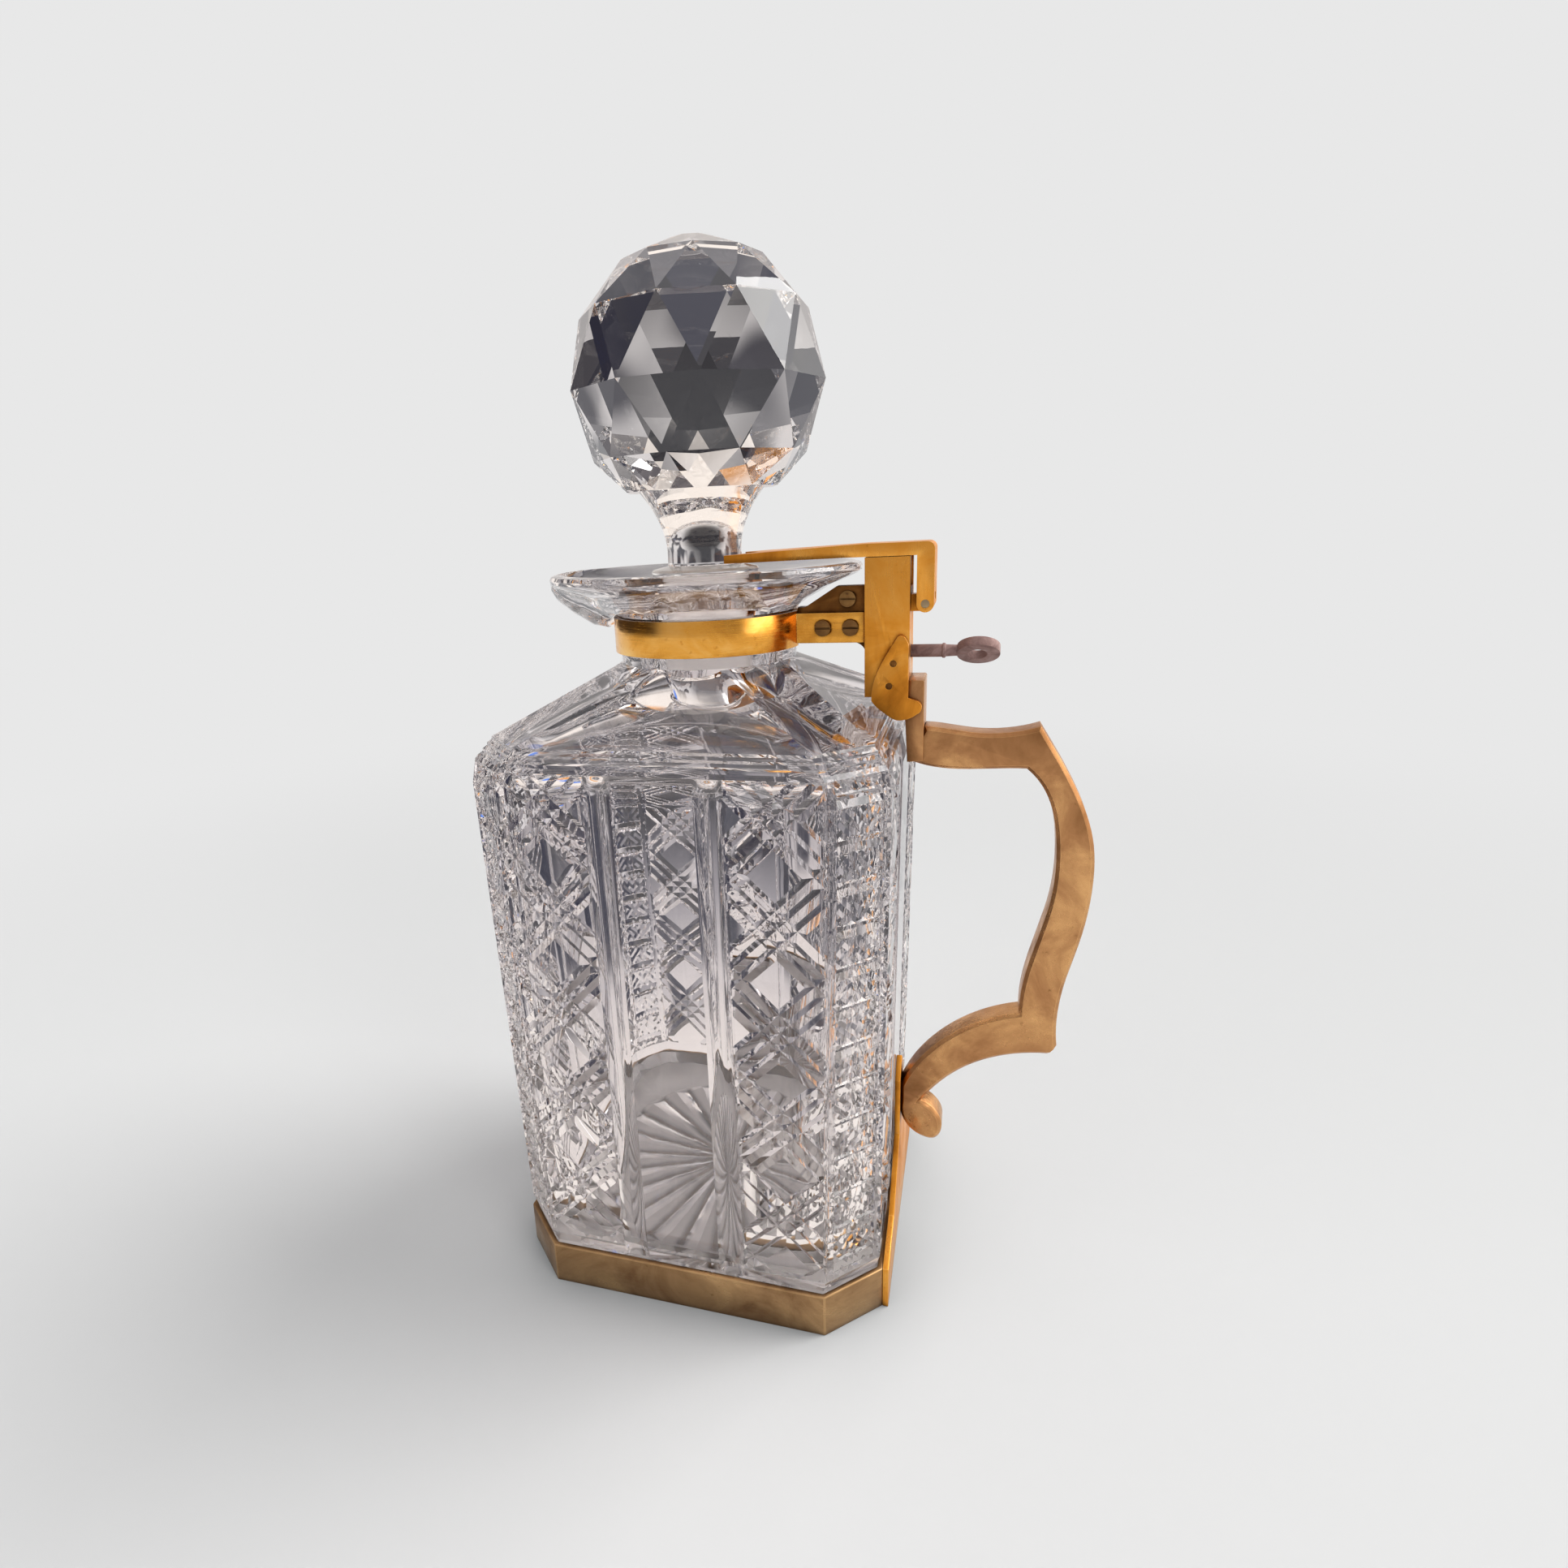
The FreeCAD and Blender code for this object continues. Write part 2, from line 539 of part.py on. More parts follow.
def base_star():
    """The star of mitre cuts under the bottle's foot."""
    cuts = []
    count = int(num("star_cuts"))
    reach, deep, half_width = num("star_radius"), num("star_depth"), num("star_cut_width") / 2
    level, over = num("tray_floor"), num("overrun")
    for i in range(count):
        middle, tip = Vector(0, 0, level), Vector(reach, 0, level + deep)
        left, right = Vector(reach, -half_width, level), Vector(reach, half_width, level)
        drop = UP * -over
        foot = polygon_face([middle + drop, left + drop, right + drop])
        block = foot.extrude(UP * over)
        sides = [polygon_face(f) for f in ([middle, left, right], [middle, right, tip], [right, left, tip],
                                           [left, middle, tip])]
        ray = block.fuse(Part.Solid(Part.Shell(sides)))
        ray.rotate(Vector(), UP, 360.0 * i / count)
        cuts.append(ray)
    return fixed("base_star", cuts[0].multiFuse(cuts[1:]))


def bore():
    """The ground bore that takes the stopper's peg."""
    gap = num("pin_gap")
    low = num("peg_foot") - num("glass_wall")
    level = num("lip_top - dish_drop")
    mouth = num("bore_mouth")
    cone = Part.makeCone(peg_radius("peg_foot") + gap, num("bore_radius") + gap, mouth - num("peg_foot"),
                         Vector(0, 0, num("peg_foot")))
    lower = Part.makeCylinder(peg_radius("peg_foot") + gap, num("peg_foot") - low, Vector(0, 0, low))
    upper = Part.makeCylinder(num("bore_radius") + gap, level + num("overrun") - mouth, Vector(0, 0, mouth))
    return fixed("bore", lower.fuse([cone, upper]))


plain_bottle = cut("plain_bottle", fuse("bottle_glass", [bottle_body(), neck_and_lip(), beak()]),
                   [bottle_hollow(), bore(), pouring_channel()])
bottle = cut_in_turn("bottle", plain_bottle, [panel_flutes(), crossed_bands(), corner_grooves(), base_star()])


# Stopper

# Heights of the ball's rings of corners above its middle, in degrees. The last ring lies on the flare.
BALL_RINGS = (80.0, 57.0, 29.0, -3.0, -33.0)
# The flare from the waist up, in shares of its spread and height, and how far it runs on inside the ball.
FLARE_SHARES = ((0.0, 0.0), (0.03, 0.16), (0.1, 0.32), (0.22, 0.48), (0.4, 0.65), (0.66, 0.83), (1.0, 1.0))
FLARE_BURIED_SHARE = 0.2


def ball():
    """Cut ball: a flat table above staggered rings of corners, with flat facets between them."""
    sides = int(num("ball_sides"))
    radius, centre = num("ball_radius"), num("ball_centre")
    rings = []
    lowest = math.degrees(math.asin((num("flare_top") - centre) / radius))
    for row, elevation in enumerate(BALL_RINGS + (lowest,)):
        up = math.radians(elevation)
        shift = 0.5 * ((row + 1) % 2)
        rings.append([Vector(radius * math.cos(up) * math.cos(2 * math.pi * (i + shift) / sides),
                             radius * math.cos(up) * math.sin(2 * math.pi * (i + shift) / sides),
                             centre + radius * math.sin(up)) for i in range(sides)])
    faces = [Part.Face(Part.makePolygon(rings[0] + rings[0][:1]))]
    for row, (upper, lower) in enumerate(zip(rings, rings[1:])):
        step = (row + 1) % 2
        for i in range(sides):
            after = (i + 1) % sides
            a, b = upper[i], upper[after]
            below = lower[(i + step) % sides]
            beside = lower[(i + step - 1) % sides]
            faces.append(Part.Face(Part.makePolygon([a, below, b, a])))
            faces.append(Part.Face(Part.makePolygon([a, beside, below, a])))
    faces.append(Part.Face(Part.makePolygon(rings[-1] + rings[-1][:1])))
    shape = Part.Solid(Part.Shell(faces))
    if shape.Volume < 0:
        shape.reverse()
    return fixed("ball", shape)


def stem():
    """Flare, waist, retaining collar and ground peg, turned about the axis."""
    waist, collar = num("waist_radius"), num("collar_radius")
    seat = num("lip_top - dish_drop")
    collar_top = seat + num("collar_height")
    mouth, peg = num("bore_radius"), peg_radius("peg_foot")
    flare, top = num("flare_radius"), num("flare_top")
    rise = num("ball_centre") - top
    low = num("peg_foot")
    bevel = num("collar_height") / 4
    foot = num("waist_top")
    inside = top + rise * FLARE_BURIED_SHARE
    profile = [(0.0, low), (peg - bevel, low), (peg, low + bevel), (mouth, num("bore_mouth")), (mouth, seat),
               (collar - bevel, seat), (collar, seat + bevel), (collar - bevel, collar_top),
               (waist, collar_top + bevel)]
    profile += [(waist + a * (flare - waist), foot + b * (top - foot)) for a, b in FLARE_SHARES]
    profile += [(flare, inside), (0.0, inside)]
    places = [Vector(x, 0, z) for x, z in profile]
    return fixed("stem", Part.Face(Part.makePolygon(places + places[:1])).revolve(Vector(), UP, 360))


stopper = fuse("stopper", [ball(), stem()])


# Base tray and back strap

CORNER_STEP = "(2 - sqrt(2)) * "


def base_tray():
    """Open brass tray that the bottle's foot stands in."""
    body = new_body("base_tray")
    outer = body_sketch(body, "tray_outline", "XY_Plane",
                        octagon("tray_outer", "corner_cut + " + CORNER_STEP + "(seat_gap + tray_wall)"))
    block = pad(body, "tray_block", outer, "tray_height")
    inner = body_sketch(body, "tray_recess_outline", "XY_Plane",
                        octagon("foot_half + seat_gap",
                                "corner_cut + " + CORNER_STEP + "seat_gap"), "tray_height")
    pocket(body, "tray_recess", inner, "tray_height - tray_floor")
    doc.recompute()
    return body


# The strap's foot spreads to the tray's corners: shares of the spread and of its rise above the tray.
STRAP_FLARE_SHARES = ((0.0, 1.0), (0.19, 0.68), (0.51, 0.2), (1.0, 0.0))


def back_strap():
    """Upright strap on the handle side, brazed to the tray, with a spreading foot and a pointed top."""
    body = new_body("strap_blank")
    wide = "tray_outer - corner_cut - %s(seat_gap + tray_wall)" % CORNER_STEP
    side = [("strap_half + %g * (%s - strap_half)" % (a, wide), "tray_height + %g * strap_flare_rise" % b)
            for a, b in STRAP_FLARE_SHARES]
    side = [("strap_half", "strap_height")] + side + [(wide, "0")]
    outline = body_sketch(body, "strap_outline", "YZ_Plane",
                          [("-(%s)" % u, v) for u, v in side[::-1]] + [("0", "strap_height + strap_point")] + side,
                          "tray_outer")
    pad(body, "strap_plate", outline, "strap_thickness")
    hole = rod("scroll_screw_hole", TO_HANDLE, "screw_radius + pin_gap", "strap_thickness + 2 * overrun",
               "tray_outer - overrun", "0", "scroll_screw_z")
    doc.recompute()
    return cut("back_strap", body, [hole])


base_tray()
back_strap()
rod("scroll_screw", TO_HANDLE, "screw_radius", "strap_thickness + scroll_screw_bite", "tray_outer", "0",
    "scroll_screw_z")


# Neck band, bracket and their screws

BAND_INNER = "band_inner"
BAND_OUTER = "band_outer"
TAB_LOW = "band_foot + tab_inset"
TAB_HIGH = "band_foot + band_height - tab_inset"
TAB_MIDDLE = "band_foot + band_height / 2"
TAB_END = "case_inner_x - tab_end_gap"


def neck_band():
    """One strip bent round the neck, with both ends turned out as tabs."""
    ring = cut("band_ring", rod("band_outer", UP, BAND_OUTER, "band_height", "0", "0", "band_foot"), [
        rod("band_bore", UP, BAND_INNER, "band_height + 2 * overrun", "0", "0", "band_foot - overrun"),
        box("band_split", "0", BAND_OUTER + " + overrun", "-bracket_thickness / 2", "bracket_thickness / 2",
            "band_foot - overrun", "band_foot + band_height + overrun")])
    near = box("near_tab", BAND_INNER, TAB_END, "-bracket_thickness / 2 - tab_thickness",
               "-bracket_thickness / 2", TAB_LOW, TAB_HIGH)
    far = box("far_tab", BAND_INNER, TAB_END, "bracket_thickness / 2", "bracket_thickness / 2 + tab_thickness",
              TAB_LOW, TAB_HIGH)
    holes = [rod("tab_hole_" + place, FRONT_TO_BACK, "screw_radius + pin_gap",
                 "bracket_thickness + 2 * tab_thickness + 2 * overrun", place,
                 "-bracket_thickness / 2 - tab_thickness - overrun", TAB_MIDDLE)
             for place in ("screw_first", "screw_second")]
    return cut("neck_band", fuse("band_strip", [ring, near, far]), holes)


def neck_bracket():
    """Plate between the tabs that carries the lock case, sloped to clear the lip and coved at its foot."""
    half = num("bracket_thickness / 2")
    start, end = num("bracket_start"), num("case_inner_x")
    low, high = num(TAB_LOW), num("bracket_top")
    slope_foot = num("band_foot + band_height + tab_inset")
    cove = num("bracket_cove")
    bend = cove * (1 - math.sqrt(0.5))
    face = outline_face([
        (start, low), (end - cove, low), (end - bend, low - bend, "arc"), (end, low - cove),
        (end, high), (num("bracket_slope_end"), high), (num("bracket_slope_start"), slope_foot), (start, slope_foot)])
    plate = fixed("bracket_plate", slab(face, -half, half))
    holes = [rod("bracket_hole_" + place, FRONT_TO_BACK, "screw_radius + pin_gap", "bracket_thickness + 2 * overrun",
                 place, "-bracket_thickness / 2 - overrun", height)
             for place, height in (("screw_first", TAB_MIDDLE), ("screw_second", TAB_MIDDLE))]
    holes.append(rod("bracket_screw_hole", FRONT_TO_BACK, "screw_radius + pin_gap", "screw_bite + pin_gap + overrun",
                     "screw_top_x", "-bracket_thickness / 2 - overrun", "screw_top_z"))
    return cut("neck_bracket", plate, holes)


def slotted_screw(name, x, z, seat, inward, bite):
    """Cheese-headed screw along Y. The head stands on the seat and the shank runs inward."""
    away = FRONT_TO_BACK * (-inward)
    head = rod(name + "_head", away, "head_radius", "head_height", x, seat, z)
    shank = rod(name + "_shank", FRONT_TO_BACK * inward, "screw_radius", bite, x, seat, z)
    deep = "(%s) - (%d) * (head_height - slot_depth)" % (seat, inward)
    low, high = (deep + " - 2 * slot_depth", deep) if inward > 0 else (deep, deep + " + 2 * slot_depth")
    slot = box(name + "_slot", "(%s) - head_radius - slot_width" % x, "(%s) + head_radius + slot_width" % x,
               low, high, "(%s) - slot_width / 2" % z, "(%s) + slot_width / 2" % z)
    return cut(name, fuse(name + "_blank", [head, shank]), [slot])


def band_screws():
    """Two screws on each side, through the tabs into the bracket."""
    items = []
    for place in ("screw_first", "screw_second"):
        for side, inward in (("near", 1), ("far", -1)):
            seat = "-(%d) * (bracket_thickness / 2 + tab_thickness)" % inward
            items.append(slotted_screw("band_%s_%s" % (side, place), place, TAB_MIDDLE, seat, inward,
                                       "tab_thickness + screw_bite"))
    return items


neck_band()
neck_bracket()
band_screw_set = band_screws()
slotted_screw("bracket_screw", "screw_top_x", "screw_top_z", "-bracket_thickness / 2", 1, "screw_bite")


# Lock case, cover and drill pin

CASE_OUTER = "case_outer_x"
COVER_INNER = "case_half - cover_thickness"
BOSS_LOW = "bolt_body_foot + boss_size / 4"
UPPER_LOW = "case_top - case_wall - boss_size"
BOSS_INNER_FACE = "key_start + boss_size / 4"
BOSS_OUTER_FACE = "bolt_inner_x + bolt_thickness + slide_gap"
BOSS_UPPER_FACE = "staple_inner_x - slide_gap * 2"


def case_bosses():
    """Posts that take the cover's screws. The cheek's rivets hold the cover's lower half."""
    walls = ("case_inner_x + case_wall / 2", CASE_OUTER + " - case_wall / 2")
    depth = ("-case_half + cover_thickness / 2", COVER_INNER)
    return [
        box("boss_inner", walls[0], BOSS_INNER_FACE, *depth, BOSS_LOW, BOSS_LOW + " + boss_size"),
        box("boss_outer", BOSS_OUTER_FACE, walls[1], *depth, BOSS_LOW, BOSS_LOW + " + boss_size"),
        box("boss_upper", walls[0], BOSS_UPPER_FACE, *depth, UPPER_LOW, "case_top - case_wall / 2"),
    ]


COVER_SCREWS = (
    ("inner", "(case_inner_x + %s) / 2" % BOSS_INNER_FACE, BOSS_LOW + " + boss_size / 2"),
    ("outer", "(%s + %s) / 2" % (CASE_OUTER, BOSS_OUTER_FACE), BOSS_LOW + " + boss_size / 2"),
    ("upper", "(case_inner_x + %s) / 2" % BOSS_UPPER_FACE, UPPER_LOW + " + boss_size / 2"),
)
RIVETS = (("upper", "rivet_upper_x", "rivet_upper_z"), ("lower", "rivet_lower_x", "rivet_lower_z"))


def keyway(name, x_low, x_high):
    """Round keyhole with a slot for the bit, through a wall across X."""
    hole = rod(name + "_round", TO_HANDLE, "shank_radius + pin_gap", "(%s) - (%s)" % (x_high, x_low), x_low, "0",
               "key_height")
    slot = Part.makeBox(num("(%s) - (%s)" % (x_high, x_low)), num("bit_reach + slide_gap"),
                        num("bit_thickness + 2 * slide_gap"),
                        Vector(num(x_low), 0, num("key_height - bit_thickness / 2 - slide_gap")))
    slot.rotate(Vector(0, 0, num("key_height")), TO_HANDLE, num("bit_angle"))
    return [hole, fixed(name + "_slot", slot)]


def lock_case():
    """Upright box, open at the back for its cover, with a notched top for the staple and an ear for the hinge."""
    shell = box("case_block", "case_inner_x", CASE_OUTER, "-case_half", COVER_INNER, "case_foot", "case_top")
    room = box("case_room", "case_inner_x + case_wall", CASE_OUTER + " - case_wall",
               "-case_half + cover_thickness", "case_half", "case_foot + case_wall", "case_top - case_wall")
    guide = cut("bolt_guide", box("guide_plate", "case_inner_x + case_wall / 2", CASE_OUTER + " - case_wall / 2",
                                  "-case_half + cover_thickness / 2", COVER_INNER, "guide_foot",
                                  "guide_foot + guide_thickness"), [
        box("guide_slot", "bolt_inner_x - slide_gap", "bolt_inner_x + bolt_thickness + slide_gap",
            "-tongue_half - slide_gap", "tongue_half + slide_gap", "guide_foot - overrun",
            "guide_foot + guide_thickness + overrun")])
    ear = fuse("hinge_ear", [
        box("ear_block", CASE_OUTER + " - case_wall / 2", "hinge_x", "-ear_half", "ear_half",
            "hinge_z - leg_half_depth", "hinge_z + leg_half_depth"),
        rod("ear_round", FRONT_TO_BACK, "leg_half_depth", "2 * ear_half", "hinge_x", "-ear_half", "hinge_z")])
    case = fuse("case_whole", [cut("case_shell", shell, [room]), guide, ear] + case_bosses())
    tools = [
        box("staple_notch", "staple_inner_x - slide_gap", CASE_OUTER + " + overrun", "-staple_half - slide_gap",
            "staple_half + slide_gap", "notch_foot", "case_top + overrun"),
        rod("ear_bore", FRONT_TO_BACK, "hinge_pin_radius + pin_gap", "2 * ear_half + 2 * overrun", "hinge_x",
            "-ear_half - overrun", "hinge_z"),
        rod("drill_pin_hole", TO_HANDLE, "drill_radius", "case_wall + 2 * overrun", "case_inner_x - overrun", "0",
            "key_height"),
    ] + keyway("keyway", CASE_OUTER + " - case_wall - overrun / 2", CASE_OUTER + " + overrun")
    for name, x, z in RIVETS:
        tools.append(rod("case_rivet_hole_" + name, FRONT_TO_BACK, "rivet_radius + pin_gap",
                         "cover_thickness + overrun", x, "-case_half - overrun", z))
    for name, x, z in COVER_SCREWS:
        tools.append(rod("case_screw_hole_" + name, FRONT_TO_BACK, "small_screw_radius + pin_gap",
                         "screw_bite * 2 + pin_gap + overrun", x, COVER_INNER + " - screw_bite * 2 - pin_gap", z))
    return cut("lock_case", case, tools)


def lock_cover():
    """Back plate of the lock case."""
    plate = box("cover_plate", "case_inner_x", CASE_OUTER, COVER_INNER, "case_half", "case_foot", "case_top")
    tools = []
    for name, x, z in RIVETS:
        tools.append(rod("cover_rivet_hole_" + name, FRONT_TO_BACK, "rivet_radius + pin_gap",
                         "cover_thickness + 2 * overrun", x, COVER_INNER + " - overrun", z))
    for name, x, z in COVER_SCREWS:
        tools.append(rod("cover_screw_hole_" + name, FRONT_TO_BACK, "small_screw_radius + pin_gap",
                         "cover_thickness + 2 * overrun", x, COVER_INNER + " - overrun", z))
    return cut("lock_cover", plate, tools)


def cover_screws():
    """Small screws that hold the cover to the case's bosses."""
    items = []
    for name, x, z in COVER_SCREWS:
        shank = rod("cover_shank_" + name, FRONT_TO_BACK, "small_screw_radius", "cover_thickness + screw_bite * 2", x,
                    COVER_INNER + " - screw_bite * 2", z)
        head = rod("cover_head_" + name, FRONT_TO_BACK, "small_head_radius", "small_head_height", x, "case_half", z)
        slot = box("cover_slot_" + name, "(%s) - small_head_radius * 2" % x, "(%s) + small_head_radius * 2" % x,
                   "case_half + small_head_height / 2", "case_half + small_head_height + overrun",
                   "(%s) - slot_width / 2" % z, "(%s) + slot_width / 2" % z)
        items.append(cut("cover_screw_" + name, fuse("cover_blank_" + name, [shank, head]), [slot]))
    return items


lock_case()
lock_cover()
cover_screw_set = cover_screws()
drill_pin = rod("drill_pin", TO_HANDLE, "drill_radius", "drill_end - case_inner_x", "case_inner_x", "0", "key_height")


# Bolt, its spring, and the key

def bolt():
    """Upright sliding bolt: a leg with the talon that the key turns, a body and a tongue."""
    body = new_body("bolt")
    talon = "key_height + talon_face * tan(bit_angle) * talon_lead"
    outline = body_sketch(body, "bolt_outline", "YZ_Plane", [
        ("-tongue_half", "tongue_top"), ("-tongue_half", "bolt_body_foot + bolt_body_height"),
        ("-bolt_back", "bolt_body_foot + bolt_body_height"), ("-bolt_back", "bolt_body_foot"),
        ("talon_face", "bolt_body_foot"), ("talon_face", talon + " + talon_half"),
        ("talon_face + talon_depth", talon + " + talon_half"), ("talon_face + talon_depth", talon + " - talon_half"),
        ("talon_face", talon + " - talon_half"), ("talon_face", "bolt_foot"), ("bolt_front", "bolt_foot"),
        ("bolt_front", "bolt_body_foot + bolt_body_height"), ("tongue_half", "bolt_body_foot + bolt_body_height"),
        ("tongue_half", "tongue_top")], "bolt_inner_x")
    pad(body, "bolt_plate", outline, "bolt_thickness")
    return body


def bolt_spring():
    """Leaf spring on the case's front wall that bears on the bolt's edge."""
    body = new_body("bolt_spring")
    wall = "-case_half + cover_thickness"
    bear = "-bolt_back - slide_gap"
    top = "bolt_body_foot + bolt_body_height"
    outline = body_sketch(body, "spring_outline", "YZ_Plane", [
        (wall, "spring_foot"), (wall + " + spring_thickness", "spring_foot"),
        (wall + " + spring_thickness", "spring_bend"), (bear, "bolt_body_foot + spring_thickness"), (bear, top),
        (bear + " - spring_thickness", top), (bear + " - spring_thickness", "bolt_body_foot + spring_thickness"),
        (wall, "spring_bend")],
        "bolt_inner_x + (bolt_thickness - spring_width) / 2")
    pad(body, "spring_strip", outline, "spring_width")
    return body


def key():
    """Pipe key: hollow shank over the drill pin, one bit, a ribbed collar and an oval bow in the bit's plane."""
    level = num("key_height")
    shank, neck = num("shank_radius"), num("key_neck_radius")
    start, end, bow_start = num("key_start"), num("shank_end"), num("bow_start")
    rib = num("collar_rib")
    profile = [(start, 0), (start, shank), (end - rib * 3, shank), (end - rib * 2, shank + rib),
               (end, shank + rib), (end + rib, neck + rib), (bow_start + neck * 2, neck), (bow_start + neck * 2, 0)]
    places = [Vector(x, 0, level + r) for x, r in profile]
    turned = Part.Face(Part.makePolygon(places + places[:1])).revolve(Vector(0, 0, level), TO_HANDLE, 360)
    pipe = Part.makeCylinder(num("pipe_radius"), num("pipe_end - key_start + overrun"),
                             Vector(start - num("overrun"), 0, level), TO_HANDLE)
    thick = num("bit_thickness")
    bit = Part.makeBox(num("bit_length"), num("bit_reach") - shank / 2 - num("pipe_radius") / 2, thick,
                       Vector(num("bit_inner_x"), shank / 2 + num("pipe_radius") / 2, level - thick / 2))

    def oval(x, length, half, height):
        middle = Vector(x + length / 2, 0, level - height / 2)
        along, across = TO_HANDLE * (length / 2), FRONT_TO_BACK * half
        if length / 2 >= half:
            curve = Part.Ellipse(middle + along, middle + across, middle)
        else:
            curve = Part.Ellipse(middle + across, middle + along, middle)
        return Part.Face(Part.Wire(curve.toShape())).extrude(UP * height)

    deep = num("bow_thickness")
    plate = oval(bow_start, num("bow_length"), num("bow_half"), deep)
    hole = oval(num("bow_hole_start"), num("bow_hole_length"), num("bow_hole_half"), deep * 2)
    whole = turned.fuse([bit, plate]).cut(hole).cut(pipe)
    whole.rotate(Vector(0, 0, level), TO_HANDLE, num("bit_angle"))
    return fixed("key", whole.removeSplitter())


bolt()
bolt_spring()
key()


# Locking arm, staple and hinge pin

ARM_LOW = "case_top + slide_gap / 2"
ARM_TOP = ARM_LOW + " + arm_thickness"
ARM_OUTER = "hinge_x + leg_half_depth"


def arm_side():
    """The arm seen from the front: thin fork, thick root, rounded corner and a leg down to the hinge."""
    low, top, tip = num(ARM_LOW), num(ARM_TOP), num("fork_tip")
    outer, inner = num(ARM_OUTER), num("hinge_x - leg_half_depth")
    corner = num("arm_corner")
    bend = corner * (1 - math.sqrt(0.5))
    foot = num("hinge_z")
    round_low = foot - num("leg_half_depth")
    face = outline_face([
        (tip, low), (inner, low), (inner, foot), (num("hinge_x"), round_low, "arc"), (outer, foot),
        (outer, top - corner), (outer - bend, top - bend, "arc"), (outer - corner, top),
        (num("case_inner_x"), top), (tip, low + num("arm_tip_thickness"))])
    reach = num("fork_half + overrun")
    return fixed("arm_side", slab(face, -reach, reach))


def arm_plan():
    """The arm seen from above: a bar as wide as the case that spreads into the fork."""
    half, wide, tip = num("case_half"), num("fork_half"), num("fork_tip")
    neck, outer = num("fork_neck_x"), num(ARM_OUTER)
    start = tip - num("overrun")
    points = [(start, -wide), (tip + wide / 2, -wide), (neck, -half), (outer, -half), (outer, half), (neck, half),
              (tip + wide / 2, wide), (start, wide)]
    low = num("hinge_z - leg_half_depth")
    outline = polygon_face([Vector(x, y, low) for x, y in points])
    return fixed("arm_plan", outline.extrude(UP * (num(ARM_TOP) - low)))


def locking_arm():
    """Hinged arm whose fork closes round the stopper's waist, above its collar."""
    blank = common("arm_blank", arm_side(), arm_plan())
    tools = [
        rod("throat", UP, "throat_radius", "arm_thickness + 2 * overrun", "throat_x", "0", ARM_LOW + " - overrun"),
        box("leg_slot", "hinge_x - leg_half_depth - overrun", ARM_OUTER + " + overrun", "-ear_half - slide_gap / 2",
            "ear_half + slide_gap / 2", "hinge_z - leg_half_depth - overrun", "hinge_z + leg_half_depth + slide_gap"),
        rod("leg_bore", FRONT_TO_BACK, "hinge_pin_radius", "2 * case_half + 2 * overrun", "hinge_x",
            "-case_half - overrun", "hinge_z"),
    ]
    for name, x in STAPLE_RIVETS:
        tools.append(rod("arm_rivet_hole_" + name, UP, "small_screw_radius + pin_gap", "arm_thickness + 2 * overrun",
                         x, "0", ARM_LOW + " - overrun"))
    return cut("locking_arm", blank, tools)


STAPLE_OUTER = "staple_inner_x + staple_depth"
STAPLE_RIVETS = (("inner", "staple_inner_x + staple_rivet_place"), ("outer", STAPLE_OUTER + " - staple_rivet_place"))


def arm_staple():
    """Block under the arm whose socket takes the bolt's tongue."""
    block = box("staple_block", "staple_inner_x", STAPLE_OUTER, "-staple_half", "staple_half", "staple_foot", ARM_LOW)
    tools = [box("staple_socket_room", "bolt_inner_x - slide_gap", "bolt_inner_x + bolt_thickness + slide_gap",
                 "-tongue_half - slide_gap", "tongue_half + slide_gap", "staple_foot - overrun",
                 "staple_foot + staple_socket")]
    for name, x in STAPLE_RIVETS:
        tools.append(rod("staple_rivet_hole_" + name, UP, "small_screw_radius + pin_gap",
                         "screw_bite + pin_gap + overrun",
                         x, "0", ARM_LOW + " - screw_bite - pin_gap"))
    return cut("arm_staple", block, tools)


def staple_rivets():
    """Flush rivets through the arm into the staple."""
    return [rod("staple_rivet_" + name, UP, "small_screw_radius", "arm_thickness + screw_bite", x, "0",
                ARM_LOW + " - screw_bite") for name, x in STAPLE_RIVETS]


locking_arm()
arm_staple()
staple_rivet_set = staple_rivets()
hinge_pin = rod("hinge_pin", FRONT_TO_BACK, "hinge_pin_radius", "2 * case_half", "hinge_x", "-case_half", "hinge_z")


# Leaf cheeks and their rivets

# Each share runs from the case's inner to its outer face, and in rivet spacings above the upper rivet.
CHEEK_LEFT_SHARES = ((0.75, 1.16), (0.45, 0.2), (0.2, -1.0), (0.17, -1.66))
CHEEK_FOOT_SHARES = ((0.17, -1.66), (0.31, -1.98), (0.5, -2.26), (0.7, -2.5), (0.97, -2.48), (1.19, -2.25))
CHEEK_NOSE_SHARES = ((1.19, -2.25), (1.3, -1.93), (1.19, -1.64))
CHEEK_RIGHT_SHARES = ((0.995, -1.52), (0.995, 0.77))
CHEEK_TIP_SHARES = ((0.995, 0.77), (0.94, 1.05), (0.85, 1.21), (0.75, 1.16))


